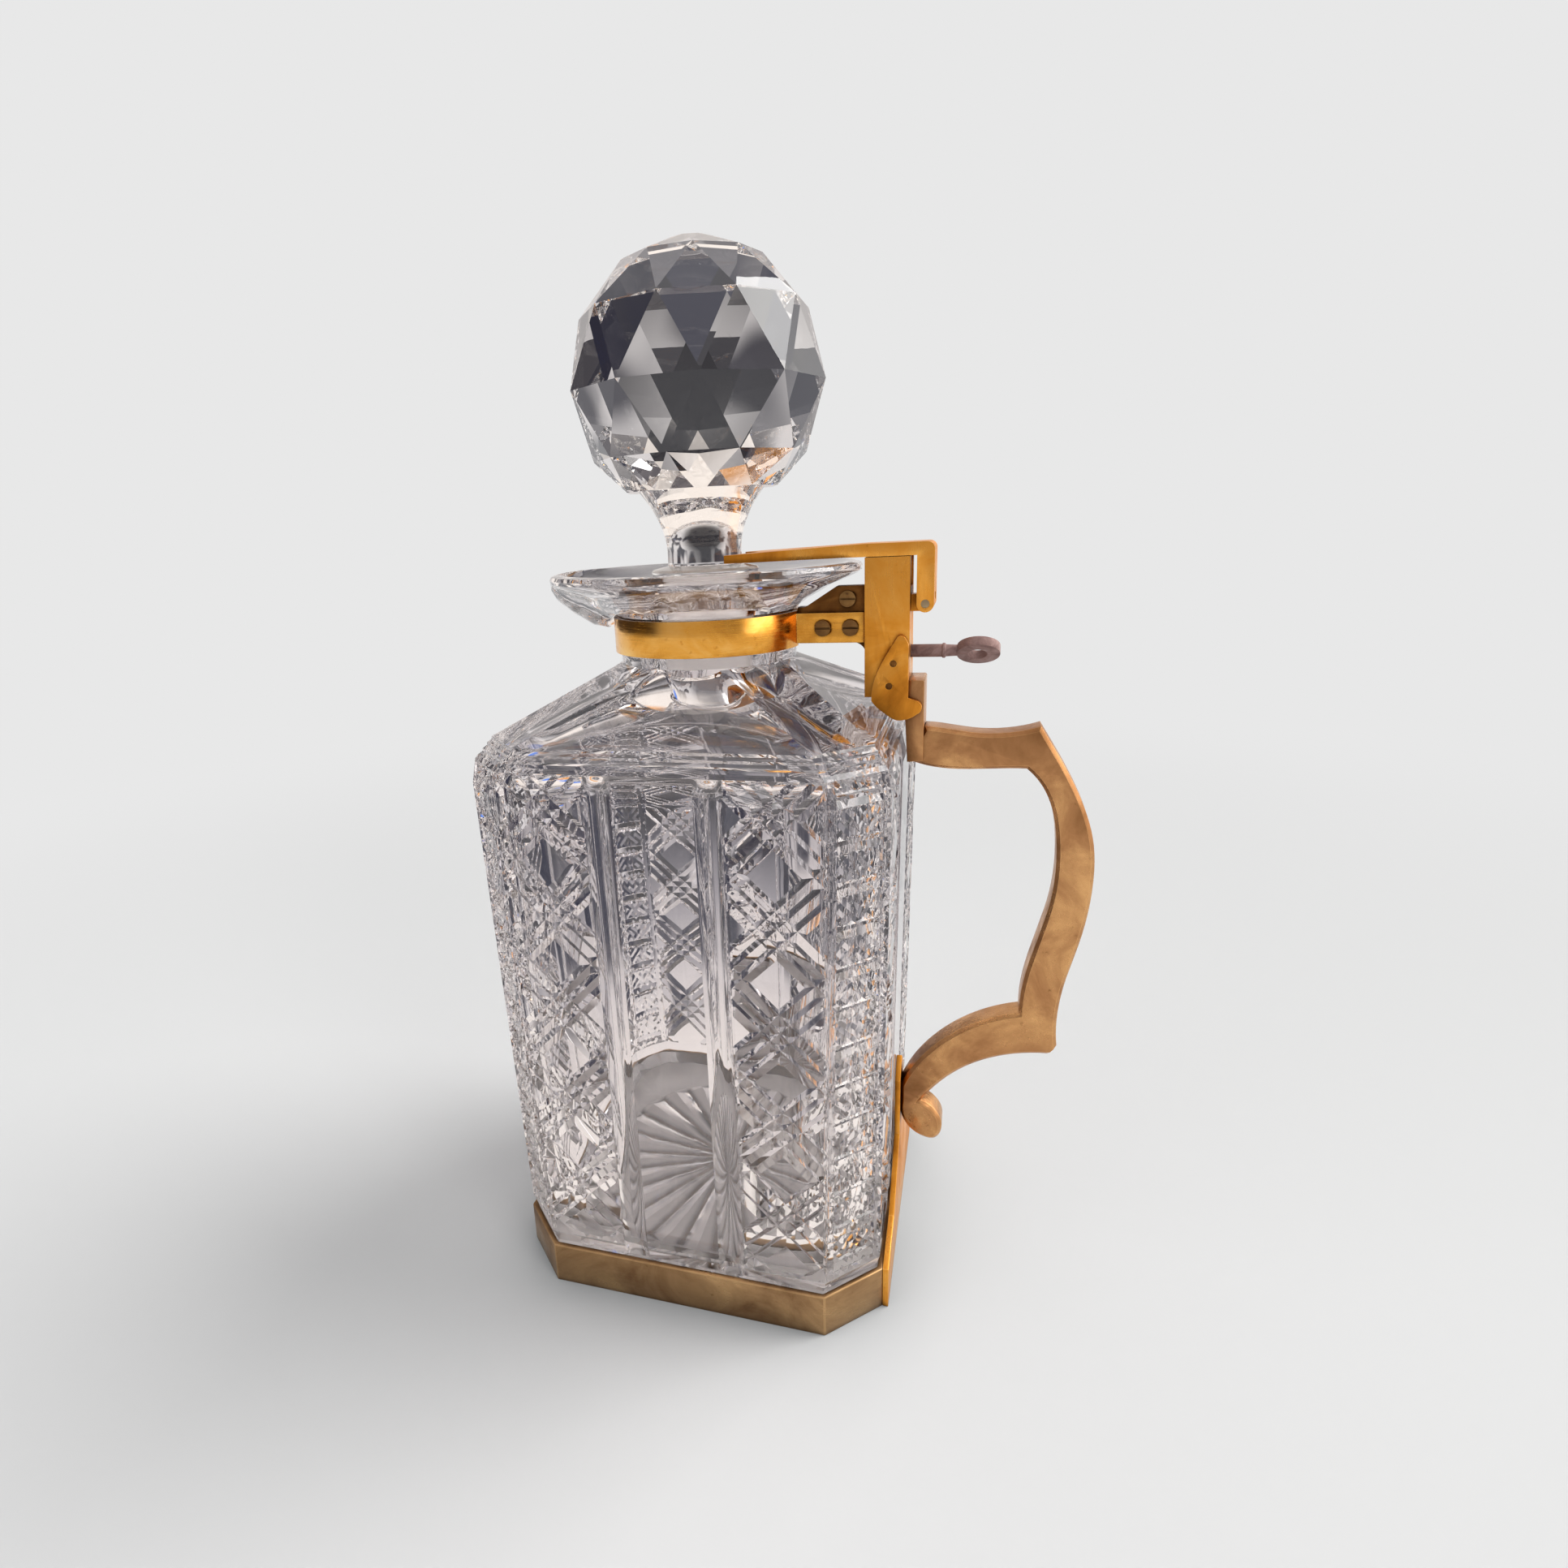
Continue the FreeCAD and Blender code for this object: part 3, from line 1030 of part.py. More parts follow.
def cheek(name, y_low, y_high):
    """Leaf-shaped plate that ties the lock case to the handle's root."""
    x0, width = num("case_inner_x"), num("case_depth")
    z0, tall = num("rivet_upper_z"), num("rivet_upper_z - rivet_lower_z")

    def at(shares):
        return [(x0 + a * width, z0 + b * tall) for a, b in shares]

    nose = at(CHEEK_NOSE_SHARES)
    right = at(CHEEK_RIGHT_SHARES)
    places = [Vector(x, 0, z) for x, z in nose]
    edges = [spline(at(CHEEK_LEFT_SHARES)), spline(at(CHEEK_FOOT_SHARES)), Part.Arc(*places).toShape(),
             Part.makeLine(places[2], Vector(right[0][0], 0, right[0][1])),
             Part.makeLine(Vector(right[0][0], 0, right[0][1]), Vector(right[1][0], 0, right[1][1])),
             spline(at(CHEEK_TIP_SHARES))]
    plate = fixed(name + "_plate", slab(Part.Face(Part.Wire(edges)), y_low, y_high))
    holes = [rod(name + "_hole_" + place, FRONT_TO_BACK, "rivet_radius + pin_gap", "cheek_thickness + 2 * overrun", x,
                 "%.9f - overrun" % y_low, z) for place, x, z in RIVETS]
    return cut(name, plate, holes)


def cheek_rivets():
    """Flush rivets through each cheek and the wall behind it."""
    items = []
    for place, x, z in RIVETS:
        items.append(rod("near_rivet_" + place, FRONT_TO_BACK, "rivet_radius", "cheek_thickness + cover_thickness", x,
                         "-case_half - cheek_thickness", z))
        items.append(rod("far_rivet_" + place, FRONT_TO_BACK, "rivet_radius", "cheek_thickness + cover_thickness", x,
                         COVER_INNER, z))
    return items


cheek("cheek_near", -num("case_half + cheek_thickness"), -num("case_half"))
cheek("cheek_far", num("case_half"), num("case_half + cheek_thickness"))
cheek_rivet_set = cheek_rivets()


# Handle

# Shares of the reach from the root to the handle's widest point, and of the height from foot to top.
OUTER_TOP_SHARES = ((0.09, 0.997), (0.2, 0.993), (0.35, 0.985), (0.5, 0.985), (0.69, 1.0))
OUTER_BACK_SHARES = ((0.69, 1.0), (0.875, 0.877), (0.985, 0.76), (0.998, 0.66), (0.955, 0.54), (0.885, 0.43),
                     (0.858, 0.342), (0.866, 0.282))
OUTER_HEEL_SHARES = ((0.866, 0.282), (0.815, 0.259))
UNDER_SHARES = ((0.815, 0.259), (0.6, 0.245), (0.37, 0.204), (0.165, 0.13), (0.105, 0.098))
CURL_SHARES = ((0.105, 0.098), (0.17, 0.085), (0.235, 0.035), (0.19, 0.0), (0.1, 0.004), (0.02, 0.03),
               (-0.012, 0.09))
INNER_LOW_SHARES = ((-0.012, 0.135), (0.06, 0.19), (0.185, 0.25), (0.41, 0.316), (0.65, 0.352))
INNER_BACK_SHARES = ((0.65, 0.352), (0.7, 0.49), (0.787, 0.625), (0.8, 0.75), (0.713, 0.874), (0.628, 0.911))
INNER_TOP_SHARES = ((0.628, 0.911), (0.355, 0.907), (0.14, 0.91), (0.0, 0.925))


# Height of the slope on the root block's inner side, in thicknesses of the block.
ROOT_SLOPE_SHARE = 1.7


def handle_places(shares):
    root, reach = num("handle_root"), num("handle_reach - handle_root")
    foot, tall = num("handle_foot"), num("handle_top - handle_foot")
    return [(root + a * reach, foot + b * tall) for a, b in shares]


def handle():
    """Flat scrolled handle with bevelled edges, and a root block that stands behind the lock case."""
    seat = num("strap_outer")
    curl = handle_places(CURL_SHARES)
    low = handle_places(INNER_LOW_SHARES)
    curl[-1] = (seat, curl[-1][1])
    low[0] = (seat, low[0][1])
    top_start = handle_places(OUTER_TOP_SHARES)[0]
    top_end = handle_places(INNER_TOP_SHARES)[-1]
    edges = [spline(handle_places(OUTER_TOP_SHARES)), spline(handle_places(OUTER_BACK_SHARES)),
             spline(handle_places(OUTER_HEEL_SHARES)), spline(handle_places(UNDER_SHARES)), spline(curl),
             spline([curl[-1], low[0]]), spline(low), spline(handle_places(INNER_BACK_SHARES)),
             spline(handle_places(INNER_TOP_SHARES)), spline([top_end, top_start])]
    half = num("handle_thickness / 2")
    bar = slab(Part.Face(Part.Wire(edges)), -half, half)
    rim = [edge for edge in bar.Edges if all(abs(abs(v.Y) - half) < half / 1000 for v in edge.Vertexes)
           and abs(edge.Vertexes[0].Y - edge.Vertexes[-1].Y) < half and edge.Length > half]
    bar = bar.makeChamfer(num("handle_bevel"), rim)
    over = num("overrun")
    bar = bar.cut(Part.makeBox(over, 2 * over + 2 * half, num("handle_top"),
                               Vector(seat - over, -over - half, 0)))
    case_outer, case_foot = num(CASE_OUTER), num("case_foot")
    gap, outer = num("root_gap"), num(CASE_OUTER + " + root_thickness")
    glass = num("face_half")
    wide = num("case_half")
    inner = glass + gap
    slope = top_start[1] - num("root_thickness")
    block = slab(outline_face([
        (top_end[0], top_end[1]), (outer, top_end[1] + gap), (outer, num("root_rise") - gap),
        (outer - gap, num("root_rise")), (case_outer, num("root_rise")), (case_outer, case_foot),
        (case_outer - num("root_thickness"), case_foot),
        (inner - gap, slope + num("root_thickness") * ROOT_SLOPE_SHARE),
        (inner, slope)]), -wide, wide)
    hole = Part.makeCylinder(num("screw_radius + pin_gap"), num("scroll_screw_bite + pin_gap + overrun"),
                             Vector(seat - num("overrun"), 0, num("scroll_screw_z")), TO_HANDLE)
    return fixed("handle", bar.fuse(block).removeSplitter().cut(hole))


handle()


# Groups of like fasteners, one node each

def group(name, items):
    item = doc.addObject("Part::Compound", name)
    item.Links = items
    return item


group("band_screws", band_screw_set)
group("cover_screws", cover_screw_set)
group("cheek_rivets", cheek_rivet_set)
group("staple_rivets", staple_rivet_set)

NODES = [
    "bottle", "stopper", "base_tray", "back_strap", "scroll_screw", "neck_band", "neck_bracket", "band_screws",
    "bracket_screw",
    "lock_case", "lock_cover", "cover_screws", "drill_pin", "bolt", "bolt_spring", "key", "locking_arm",
    "arm_staple", "staple_rivets", "hinge_pin", "cheek_near", "cheek_far", "cheek_rivets", "handle",
]

doc.recompute()
for item in doc.Objects:
    if "Invalid" in item.State or "Error" in item.State:
        raise RuntimeError("%s failed: %s" % (item.Label, item.State))

os.makedirs("parts", exist_ok=True)
for name in NODES:
    item = next(o for o in doc.Objects if o.Label == name)
    shape = item.Shape
    if shape.isNull() or not shape.isValid():
        raise RuntimeError("%s has no valid shape" % name)
    shape.exportStep("parts/%s.step" % name)
    box_of = shape.BoundBox
    print("%-14s solids %d volume %10.1f  x %.2f %.2f  y %.2f %.2f  z %.2f %.2f" % (
        name, len(shape.Solids), shape.Volume, box_of.XMin, box_of.XMax, box_of.YMin, box_of.YMax, box_of.ZMin,
        box_of.ZMax))
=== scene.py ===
"""Looks of the tantalus: cut-glass bottle and stopper, gilt brass frame, iron key, floor and light.

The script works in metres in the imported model's frame. Glass sizes are written in millimetres and are
scaled once, when each glass mesh is whole.
"""
import json
import math

import bmesh
import bpy
from mathutils import Matrix, Vector


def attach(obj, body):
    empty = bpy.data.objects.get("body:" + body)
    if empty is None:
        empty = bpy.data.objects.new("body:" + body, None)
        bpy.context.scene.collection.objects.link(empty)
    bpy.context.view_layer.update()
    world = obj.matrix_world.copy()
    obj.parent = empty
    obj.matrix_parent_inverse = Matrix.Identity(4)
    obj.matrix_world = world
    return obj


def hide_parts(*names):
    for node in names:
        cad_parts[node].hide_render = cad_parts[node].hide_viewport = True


MM = 0.001
WEAR = "edge_wear"
UP = Vector((0.0, 0.0, 1.0))
ACROSS = Vector((1.0, 0.0, 0.0))
INWARD = Vector((0.0, 1.0, 0.0))

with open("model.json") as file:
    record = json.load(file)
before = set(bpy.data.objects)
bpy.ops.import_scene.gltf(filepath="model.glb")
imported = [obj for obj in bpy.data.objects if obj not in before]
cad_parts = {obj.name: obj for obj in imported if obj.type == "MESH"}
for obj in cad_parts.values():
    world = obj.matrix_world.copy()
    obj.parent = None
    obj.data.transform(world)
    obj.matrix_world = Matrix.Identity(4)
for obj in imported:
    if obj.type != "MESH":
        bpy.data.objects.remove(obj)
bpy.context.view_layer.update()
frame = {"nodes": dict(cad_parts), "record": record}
NODES = frame["nodes"]
BODY_OF = {node: body for body, nodes in frame["record"]["behaviour"]["bodies"].items() for node in nodes}


# Camera, fitted to the photograph

CAMERA_PLACE = Vector((69.07, -234.82, 199.97)) * MM
CAMERA_AIM = Vector((-6.88, 0.0, 130.4)) * MM
CAMERA_ROLL = math.radians(-3.02)
CAMERA_LENS = 21.01
CAMERA_SENSOR = 36.0
CAMERA_SHIFT = (0.0590, -0.0004)
CAMERA_NEAR = 10.0


def make_camera():
    data = bpy.data.cameras.new("camera")
    data.sensor_width = CAMERA_SENSOR
    data.lens = CAMERA_LENS
    data.shift_x, data.shift_y = CAMERA_SHIFT
    data.clip_start = CAMERA_NEAR * MM
    camera = bpy.data.objects.new("camera", data)
    bpy.context.scene.collection.objects.link(camera)
    back = (CAMERA_PLACE - CAMERA_AIM).normalized()
    right = UP.cross(back).normalized()
    above = back.cross(right)
    turned_right = right * math.cos(CAMERA_ROLL) + above * math.sin(CAMERA_ROLL)
    turned_up = above * math.cos(CAMERA_ROLL) - right * math.sin(CAMERA_ROLL)
    camera.matrix_world = Matrix((
        (turned_right.x, turned_up.x, back.x, CAMERA_PLACE.x),
        (turned_right.y, turned_up.y, back.y, CAMERA_PLACE.y),
        (turned_right.z, turned_up.z, back.z, CAMERA_PLACE.z),
        (0.0, 0.0, 0.0, 1.0)))
    bpy.context.scene.camera = camera


# Shader building

def add(tree, kind, inputs=None, **settings):
    """A shader node. Inputs are plain values or sockets to link from."""
    made = tree.nodes.new("ShaderNode" + kind)
    for name, value in settings.items():
        setattr(made, name, value)
    for key, value in (inputs or {}).items():
        if isinstance(value, bpy.types.NodeSocket):
            tree.links.new(value, made.inputs[key])
        else:
            made.inputs[key].default_value = value
    return made


def ramp(tree, factor, stops):
    """A colour ramp through places and colours."""
    made = add(tree, "ValToRGB", {0: factor})
    elements = made.color_ramp.elements
    for element, (place, colour) in zip(elements, (stops[0], stops[-1])):
        element.position = place
        element.color = (*colour, 1.0)
    for place, colour in stops[1:-1]:
        elements.new(place).color = (*colour, 1.0)
    return made.outputs["Color"]


def grey_ramp(tree, factor, low, high, low_value=0.0, high_value=1.0):
    """A smooth step between two values."""
    return add(tree, "MapRange", {"Value": factor, "From Min": low, "From Max": high, "To Min": low_value,
                                  "To Max": high_value}, interpolation_type="SMOOTHSTEP").outputs["Result"]


def blend_colour(tree, factor, first, second):
    """A mix of two colours, each a plain value or a socket. The node's colours are its inputs 6 and 7."""
    made = add(tree, "Mix", data_type="RGBA", blend_type="MIX")
    for key, value in ((0, factor), (6, first), (7, second)):
        if isinstance(value, bpy.types.NodeSocket):
            tree.links.new(value, made.inputs[key])
        elif key == 0:
            made.inputs[key].default_value = value
        else:
            made.inputs[key].default_value = (*value, 1.0)
    return made.outputs[2]


def math_node(tree, operation, first, second, third=0.0):
    return add(tree, "Math", {0: first, 1: second, 2: third}, operation=operation).outputs[0]


def noise(tree, place, scale, detail, roughness=0.55, distortion=0.0):
    return add(tree, "TexNoise", {"Vector": place, "Scale": scale, "Detail": detail, "Roughness": roughness,
                                  "Distortion": distortion}).outputs["Fac"]


def new_material(name):
    material = bpy.data.materials.new(name)
    material.use_nodes = True
    tree = material.node_tree
    return material, tree, tree.nodes["Principled BSDF"]


def add_bump(tree, shader, height, strength, distance):
    """Fine relief, with its distance in millimetres."""
    bump = add(tree, "Bump", {"Height": height, "Strength": strength, "Distance": distance * MM})
    tree.links.new(bump.outputs["Normal"], shader.inputs["Normal"])


def object_place(tree, stretch=(1.0, 1.0, 1.0)):
    place = add(tree, "TexCoord").outputs["Object"]
    return add(tree, "Mapping", {"Vector": place, "Scale": stretch}).outputs["Vector"]


# Materials

LEAD_GLASS_INDEX = 1.54
GROUND_TINT = (0.97, 0.94, 0.91)
GROUND_ROUGHNESS = 0.12
GROUND_MATT_SHARE = 0.65
GROUND_FADE = 0.1
# Share of the grinding left on the ridges of the star, where the foot has worn clear.
WORN_SHARE = 0.2
# Heights over the foot between which the star's rays go from worn to fully ground.
RAY_WEAR = (0.1, 1.1)

# Noises are given as scale per metre, detail and roughness, and their steps as two noise values.
GLASS_CLOUD = (45.0, 3.0)
GLASS_CLOUD_STEPS = (0.3, 0.75)
GLASS_CLOUD_GAIN = 1.03
HANDLING_MARKS = (260.0, 5.0, 0.7)
HANDLING_STEPS = (0.55, 0.8)
HANDLING_ROUGHNESS = 0.08
POLISH_RIPPLE = (90.0, 2.0)
POLISH_RIPPLE_HEIGHT = 0.3


def ground_foot(tree, place):
    """How far the underside is ground: its border wholly, its star in the deep rays."""
    parts = add(tree, "SeparateXYZ", {0: place}).outputs
    top = FOOT + STAR_DEPTH
    under = grey_ramp(tree, parts["Z"], top * MM, (top + GROUND_FADE) * MM, 1.0, 0.0)
    worn, whole = (FOOT + height for height in RAY_WEAR)
    rays = grey_ramp(tree, parts["Z"], worn * MM, whole * MM, WORN_SHARE, 1.0)
    level = add(tree, "CombineXYZ", {"X": parts["X"], "Y": parts["Y"]}).outputs[0]
    radius = add(tree, "VectorMath", {0: level}, operation="LENGTH").outputs["Value"]
    border = grey_ramp(tree, radius, STAR_RADIUS * MM, (STAR_RADIUS + STAR_RIM) * MM)
    return math_node(tree, "MULTIPLY", under, math_node(tree, "MAXIMUM", rays, border))


def ground_peg(tree, place):
    """The stopper's peg, ground to fit the neck."""
    height = add(tree, "SeparateXYZ", {0: place}).outputs["Z"]
    return grey_ramp(tree, height, PEG_TOP * MM, (PEG_TOP + GROUND_FADE) * MM, 1.0, 0.0)


def cut_glass(name, tint, waviness, ground_places):
    """Clear lead glass with a faint tint, polishing ripples, handling marks and ground places."""
    material, tree, shader = new_material(name)
    place = object_place(tree)
    shader.inputs["IOR"].default_value = LEAD_GLASS_INDEX
    low, high = GLASS_CLOUD_STEPS
    lighter = tuple(min(1.0, part * GLASS_CLOUD_GAIN) for part in tint)
    colour = ramp(tree, noise(tree, place, *GLASS_CLOUD), ((low, tint), (high, lighter)))
    marks = noise(tree, place, *HANDLING_MARKS)
    rough = grey_ramp(tree, marks, *HANDLING_STEPS, 0.0, HANDLING_ROUGHNESS)
    ground = ground_places(tree, place)
    colour = blend_colour(tree, ground, colour, GROUND_TINT)
    rough = math_node(tree, "MULTIPLY_ADD", ground, GROUND_ROUGHNESS, rough)
    clear = math_node(tree, "MULTIPLY_ADD", ground, -GROUND_MATT_SHARE, 1.0)
    tree.links.new(clear, shader.inputs["Transmission Weight"])
    tree.links.new(colour, shader.inputs["Base Color"])
    tree.links.new(rough, shader.inputs["Roughness"])
    add_bump(tree, shader, noise(tree, place, *POLISH_RIPPLE), waviness, POLISH_RIPPLE_HEIGHT)
    return material


# Patina of the metals, with a distortion, and the noise values of its dark, plain and bright places.
PATINA = (55.0, 6.0, 0.62, 0.6)
PATINA_PLACES = (0.28, 0.47, 0.72)
SPECKS = (420.0, 5.0, 0.65)
SPECK_STEPS = (0.62, 0.78)
BRUSH_LINES = (170.0, 3.0, 0.5)
# Edges are rubbed bright less where the patina is thick.
RUBBED_STEPS = (0.3, 0.6, 0.25, 0.9)
# Painted shade in the crevices: ambient occlusion within this reach darkens the colour towards a near-black
# copy of the dark colour.
PAINTED_SHADE_REACH = 2.2
PAINTED_SHADE_SAMPLES = 6
PAINTED_SHADE_STEPS = (0.35, 0.85, 0.8, 0.0)
PAINTED_SHADE_DARKNESS = 0.28
# Roughness over and under a metal's own, from dull to bright patina, and what the brush lines add.
ROUGH_STEPS = (0.3, 0.75)
ROUGH_OVER = 0.12
ROUGH_UNDER = 0.1
BRUSH_ROUGHNESS = (0.3, 0.7, -0.05, 0.07)
BRUSH_HEIGHT = 0.05


def aged_metal(name, bright, base, dark, roughness, brush_axis, brush):
    """Old metal: mottled patina, brushed lines, painted shade in the crevices and edges rubbed bright."""
    material, tree, shader = new_material(name)
    shader.inputs["Metallic"].default_value = 1.0
    place = object_place(tree)
    patina = noise(tree, place, *PATINA)
    colour = ramp(tree, patina, list(zip(PATINA_PLACES, (dark, base, bright))))
    fine = noise(tree, place, *SPECKS)
    colour = blend_colour(tree, grey_ramp(tree, fine, *SPECK_STEPS), colour, dark)
    edge = add(tree, "Attribute", attribute_name=WEAR).outputs["Fac"]
    rubbed = math_node(tree, "MULTIPLY", edge, grey_ramp(tree, patina, *RUBBED_STEPS))
    colour = blend_colour(tree, rubbed, colour, bright)
    # Painted shade: the colour goes near black where ambient occlusion finds close surfaces, in crevices and
    # between parts.
    shade = add(tree, "AmbientOcclusion", {"Distance": PAINTED_SHADE_REACH * MM}, samples=PAINTED_SHADE_SAMPLES)
    painted_shade = grey_ramp(tree, shade.outputs["AO"], *PAINTED_SHADE_STEPS)
    colour = blend_colour(tree, painted_shade, colour, tuple(part * PAINTED_SHADE_DARKNESS for part in dark))
    tree.links.new(colour, shader.inputs["Base Color"])
    lines = noise(tree, object_place(tree, brush_axis), *BRUSH_LINES)
    dull = grey_ramp(tree, patina, *ROUGH_STEPS, roughness + ROUGH_OVER, roughness - ROUGH_UNDER)
    rough = math_node(tree, "ADD", dull, grey_ramp(tree, lines, *BRUSH_ROUGHNESS))
    tree.links.new(rough, shader.inputs["Roughness"])
    add_bump(tree, shader, math_node(tree, "ADD", lines, fine), brush, BRUSH_HEIGHT)
    return material


# Rust of the key: its noise, its colours at noise values, and its metallic and roughness steps.
RUST = (160.0, 7.0, 0.7, 0.8)
RUST_COLOURS = ((0.3, (0.1, 0.05, 0.045)), (0.48, (0.26, 0.15, 0.135)), (0.6, (0.38, 0.24, 0.22)),
                (0.78, (0.6, 0.5, 0.48)))
RUST_METALLIC = (0.45, 0.75, 0.15, 0.85)
RUST_ROUGHNESS = (0.4, 0.8, 0.72, 0.42)
RUST_GRAIN = (900.0, 5.0, 0.7)
RUST_GRAIN_STRENGTH = 0.6
RUST_GRAIN_HEIGHT = 0.12


def rusted_iron(name):
    """Mauve-brown iron with rust bloom and worn grey places."""
    material, tree, shader = new_material(name)
    place = object_place(tree)
    bloom = noise(tree, place, *RUST)
    tree.links.new(ramp(tree, bloom, RUST_COLOURS), shader.inputs["Base Color"])
    tree.links.new(grey_ramp(tree, bloom, *RUST_METALLIC), shader.inputs["Metallic"])
    tree.links.new(grey_ramp(tree, bloom, *RUST_ROUGHNESS), shader.inputs["Roughness"])
    add_bump(tree, shader, noise(tree, place, *RUST_GRAIN), RUST_GRAIN_STRENGTH, RUST_GRAIN_HEIGHT)
    return material


# Glasses: tint, strength of the polishing ripples, and where the glass is ground.
GLASSES = {
    "cut_glass": ((0.94, 0.93, 0.95), 0.12, ground_foot),
    "stopper_glass": ((0.965, 0.96, 0.965), 0.02, ground_peg),
}
# How much finer the brush lines are along each axis.
BRUSHED_ALONG = (1.0, 1.0, 14.0)
# Metals: bright, plain and dark colour, roughness, finer axes of the brush lines, and their strength.
METALS = {
    # The tray's colours are darker than the other brass: partly its own browner brass, partly painted shade
    # for its front, which lies in shade.
    "tray_brass": ((0.55, 0.34, 0.16), (0.33, 0.19, 0.09), (0.17, 0.085, 0.035), 0.36,
                   (1.0, 1.0, 12.0), 0.25),
    "band_brass": ((0.98, 0.6, 0.2), (0.86, 0.4, 0.065), (0.6, 0.23, 0.025), 0.16, (1.0, 1.0, 16.0), 0.1),
    "frame_brass": ((0.95, 0.47, 0.1), (0.82, 0.32, 0.036), (0.52, 0.17, 0.016), 0.33,
                    (12.0, 12.0, 1.0), 0.12),
    "dark_brass": ((0.34, 0.15, 0.04), (0.2, 0.08, 0.02), (0.09, 0.035, 0.012), 0.42, BRUSHED_ALONG, 0.25),
    "handle_brass": ((0.8, 0.44, 0.18), (0.48, 0.23, 0.095), (0.3, 0.135, 0.05), 0.3, (3.0, 12.0, 3.0), 0.12),
    "screw_steel": ((0.45, 0.27, 0.1), (0.26, 0.13, 0.045), (0.1, 0.045, 0.02), 0.4, BRUSHED_ALONG, 0.25),
    "bolt_steel": ((0.5, 0.38, 0.23), (0.34, 0.24, 0.14), (0.17, 0.11, 0.06), 0.4, BRUSHED_ALONG, 0.25),
}


def make_materials():
    made = {name: cut_glass(name, *values) for name, values in GLASSES.items()}
    made.update({name: aged_metal(name, *values) for name, values in METALS.items()})
    made["key_iron"] = rusted_iron("key_iron")
    return made


# Finishing of the pieces

def mark_sharp(mesh, angle):
    """Sharp edges where a flat face or a steep angle meets; the rest stays smooth."""
    for edge in mesh.edges:
        flat = len(edge.link_faces) != 2 or not all(face.smooth for face in edge.link_faces)
        edge.smooth = not flat and edge.calc_face_angle(0.0) < math.radians(angle)


def finish_piece(name, data, material, node):
    """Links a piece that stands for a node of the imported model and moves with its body."""
    data.materials.clear()
    data.materials.append(material)
    piece = bpy.data.objects.new(name, data)
    bpy.context.scene.collection.objects.link(piece)
    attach(piece, BODY_OF[node])
    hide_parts(node)


def finish_glass(name, mesh, data, material, node):
    """Scales a glass mesh from millimetres and makes its piece."""
    mark_sharp(mesh, GLASS_SHARP_ANGLE)
    bmesh.ops.scale(mesh, vec=Vector((MM, MM, MM)), verts=mesh.verts)
    mesh.to_mesh(data)
    finish_piece(name, data, material, node)


# Cut-glass bottle

# Millimetres. One eighth of the bottle is built, from the middle of the front face to the middle of the next
# corner, and is then mirrored and turned round the axis.
EIGHTH = math.radians(45)
FOOT = 1.55
FOOT_HALF = 48.5
CORNER_CUT = 12.0
# Half widths of the body at heights: foot in the tray, the tray's rim, the overhang above it, the top of the
# faces, and the bevel.
FOOT_RING = (FOOT_HALF, FOOT)
RIM_RING = (FOOT_HALF, 12.3)
SILL_RING = (49.5, 15.8)
TOP_RING = (51.8, 140.5)
BEVEL_RING = (50.9, 146.5)
BODY_RINGS = (FOOT_RING, RIM_RING, SILL_RING, TOP_RING, BEVEL_RING)
RIM, SILL, FACE_TOP, BEVEL_TOP = (ring[1] for ring in BODY_RINGS[1:])
FACE_HALF = TOP_RING[0]
BEVEL_HALF = BEVEL_RING[0]
STEP_RINGS = ((50.22, 147.5), (49.4, 148.15), (49.34, 148.8), (48.5, 149.45), (48.45, 150.1),
              (47.6, 150.8), (47.5, 151.5))
NECK_RADIUS = 23.2
NECK_FOOT = 166.0
TURN_STEPS = 12
PANEL_STEPS = 6
SHOULDER_STEPS = 8
SHOULDER_HOLLOW = 1.1
# Ways out of the shoulder's front and corner panels, which they are hollowed against.
FRONT_OUTWARD = Vector((0, -0.5, 0.87))
CORNER_OUTWARD = Vector((0.35, -0.35, 0.87))

FLUTE_IN = 9.8
FLUTE_OUT = 16.4
FLUTE_DEPTH = 1.5
FLUTE_TOP = 146.3
FLUTE_ROUND = 5.0
FLUTE_RISE = 1.0
# Where the flutes are divided: shares of the half width, and depths under the top.
FLUTE_SHARES = (-0.85, -0.6, -0.3, 0.0, 0.3, 0.6, 0.85)
FLUTE_DROPS = (0.0, 0.15, 0.6, 1.4, 2.6, 4.0, FLUTE_ROUND)

LATTICE_X = 27.6
LATTICE_Z = 111.6
LATTICE_PITCH = 26.5
MITRE_WIDTH = 3.3
MITRE_DEPTH = 1.15
# A band's mitre cuts, and where it is divided, counted in mitre widths from its middle.
MITRES = (-1, 0, 1)
MITRE_SLICES = (-1.5, -1.0, -0.5, 0.0, 0.5, 1.0, 1.5)
CROSSING_SLICES = (-2, -1, 0, 1, 2)
RUN_OUT = 0.8
DIAGONAL = math.sqrt(2)

BLOCK_PITCH = 10.2
BLOCK_FIRST = 9.3
BLOCK_MARGIN = 2.0
GROOVE_HALF = 1.5
GROOVE_DEPTH = 1.0
UPRIGHT_MIDDLE = 7.3
UPRIGHT_HALF = 1.1
HATCH_PITCH = 2.4
HATCH_DEPTH = 0.65
HATCH_RUN_OUT = 0.35

STAR_RADIUS = 38.0
STAR_RIM = 2.5
STAR_DEPTH = 2.3
STAR_STEP = math.radians(7.5)

# Places that agree to this many decimals are one corner.
PLACE_DECIMALS = 4
# How close corners lie when a slice takes them as its own, and when halves are joined.
SLICE_REACH = 1e-5
JOIN_REACH = 0.002
FLAT_ANGLE = 0.3
GLASS_SHARP_ANGLE = 28.0

LIP_FOOT = 178.2
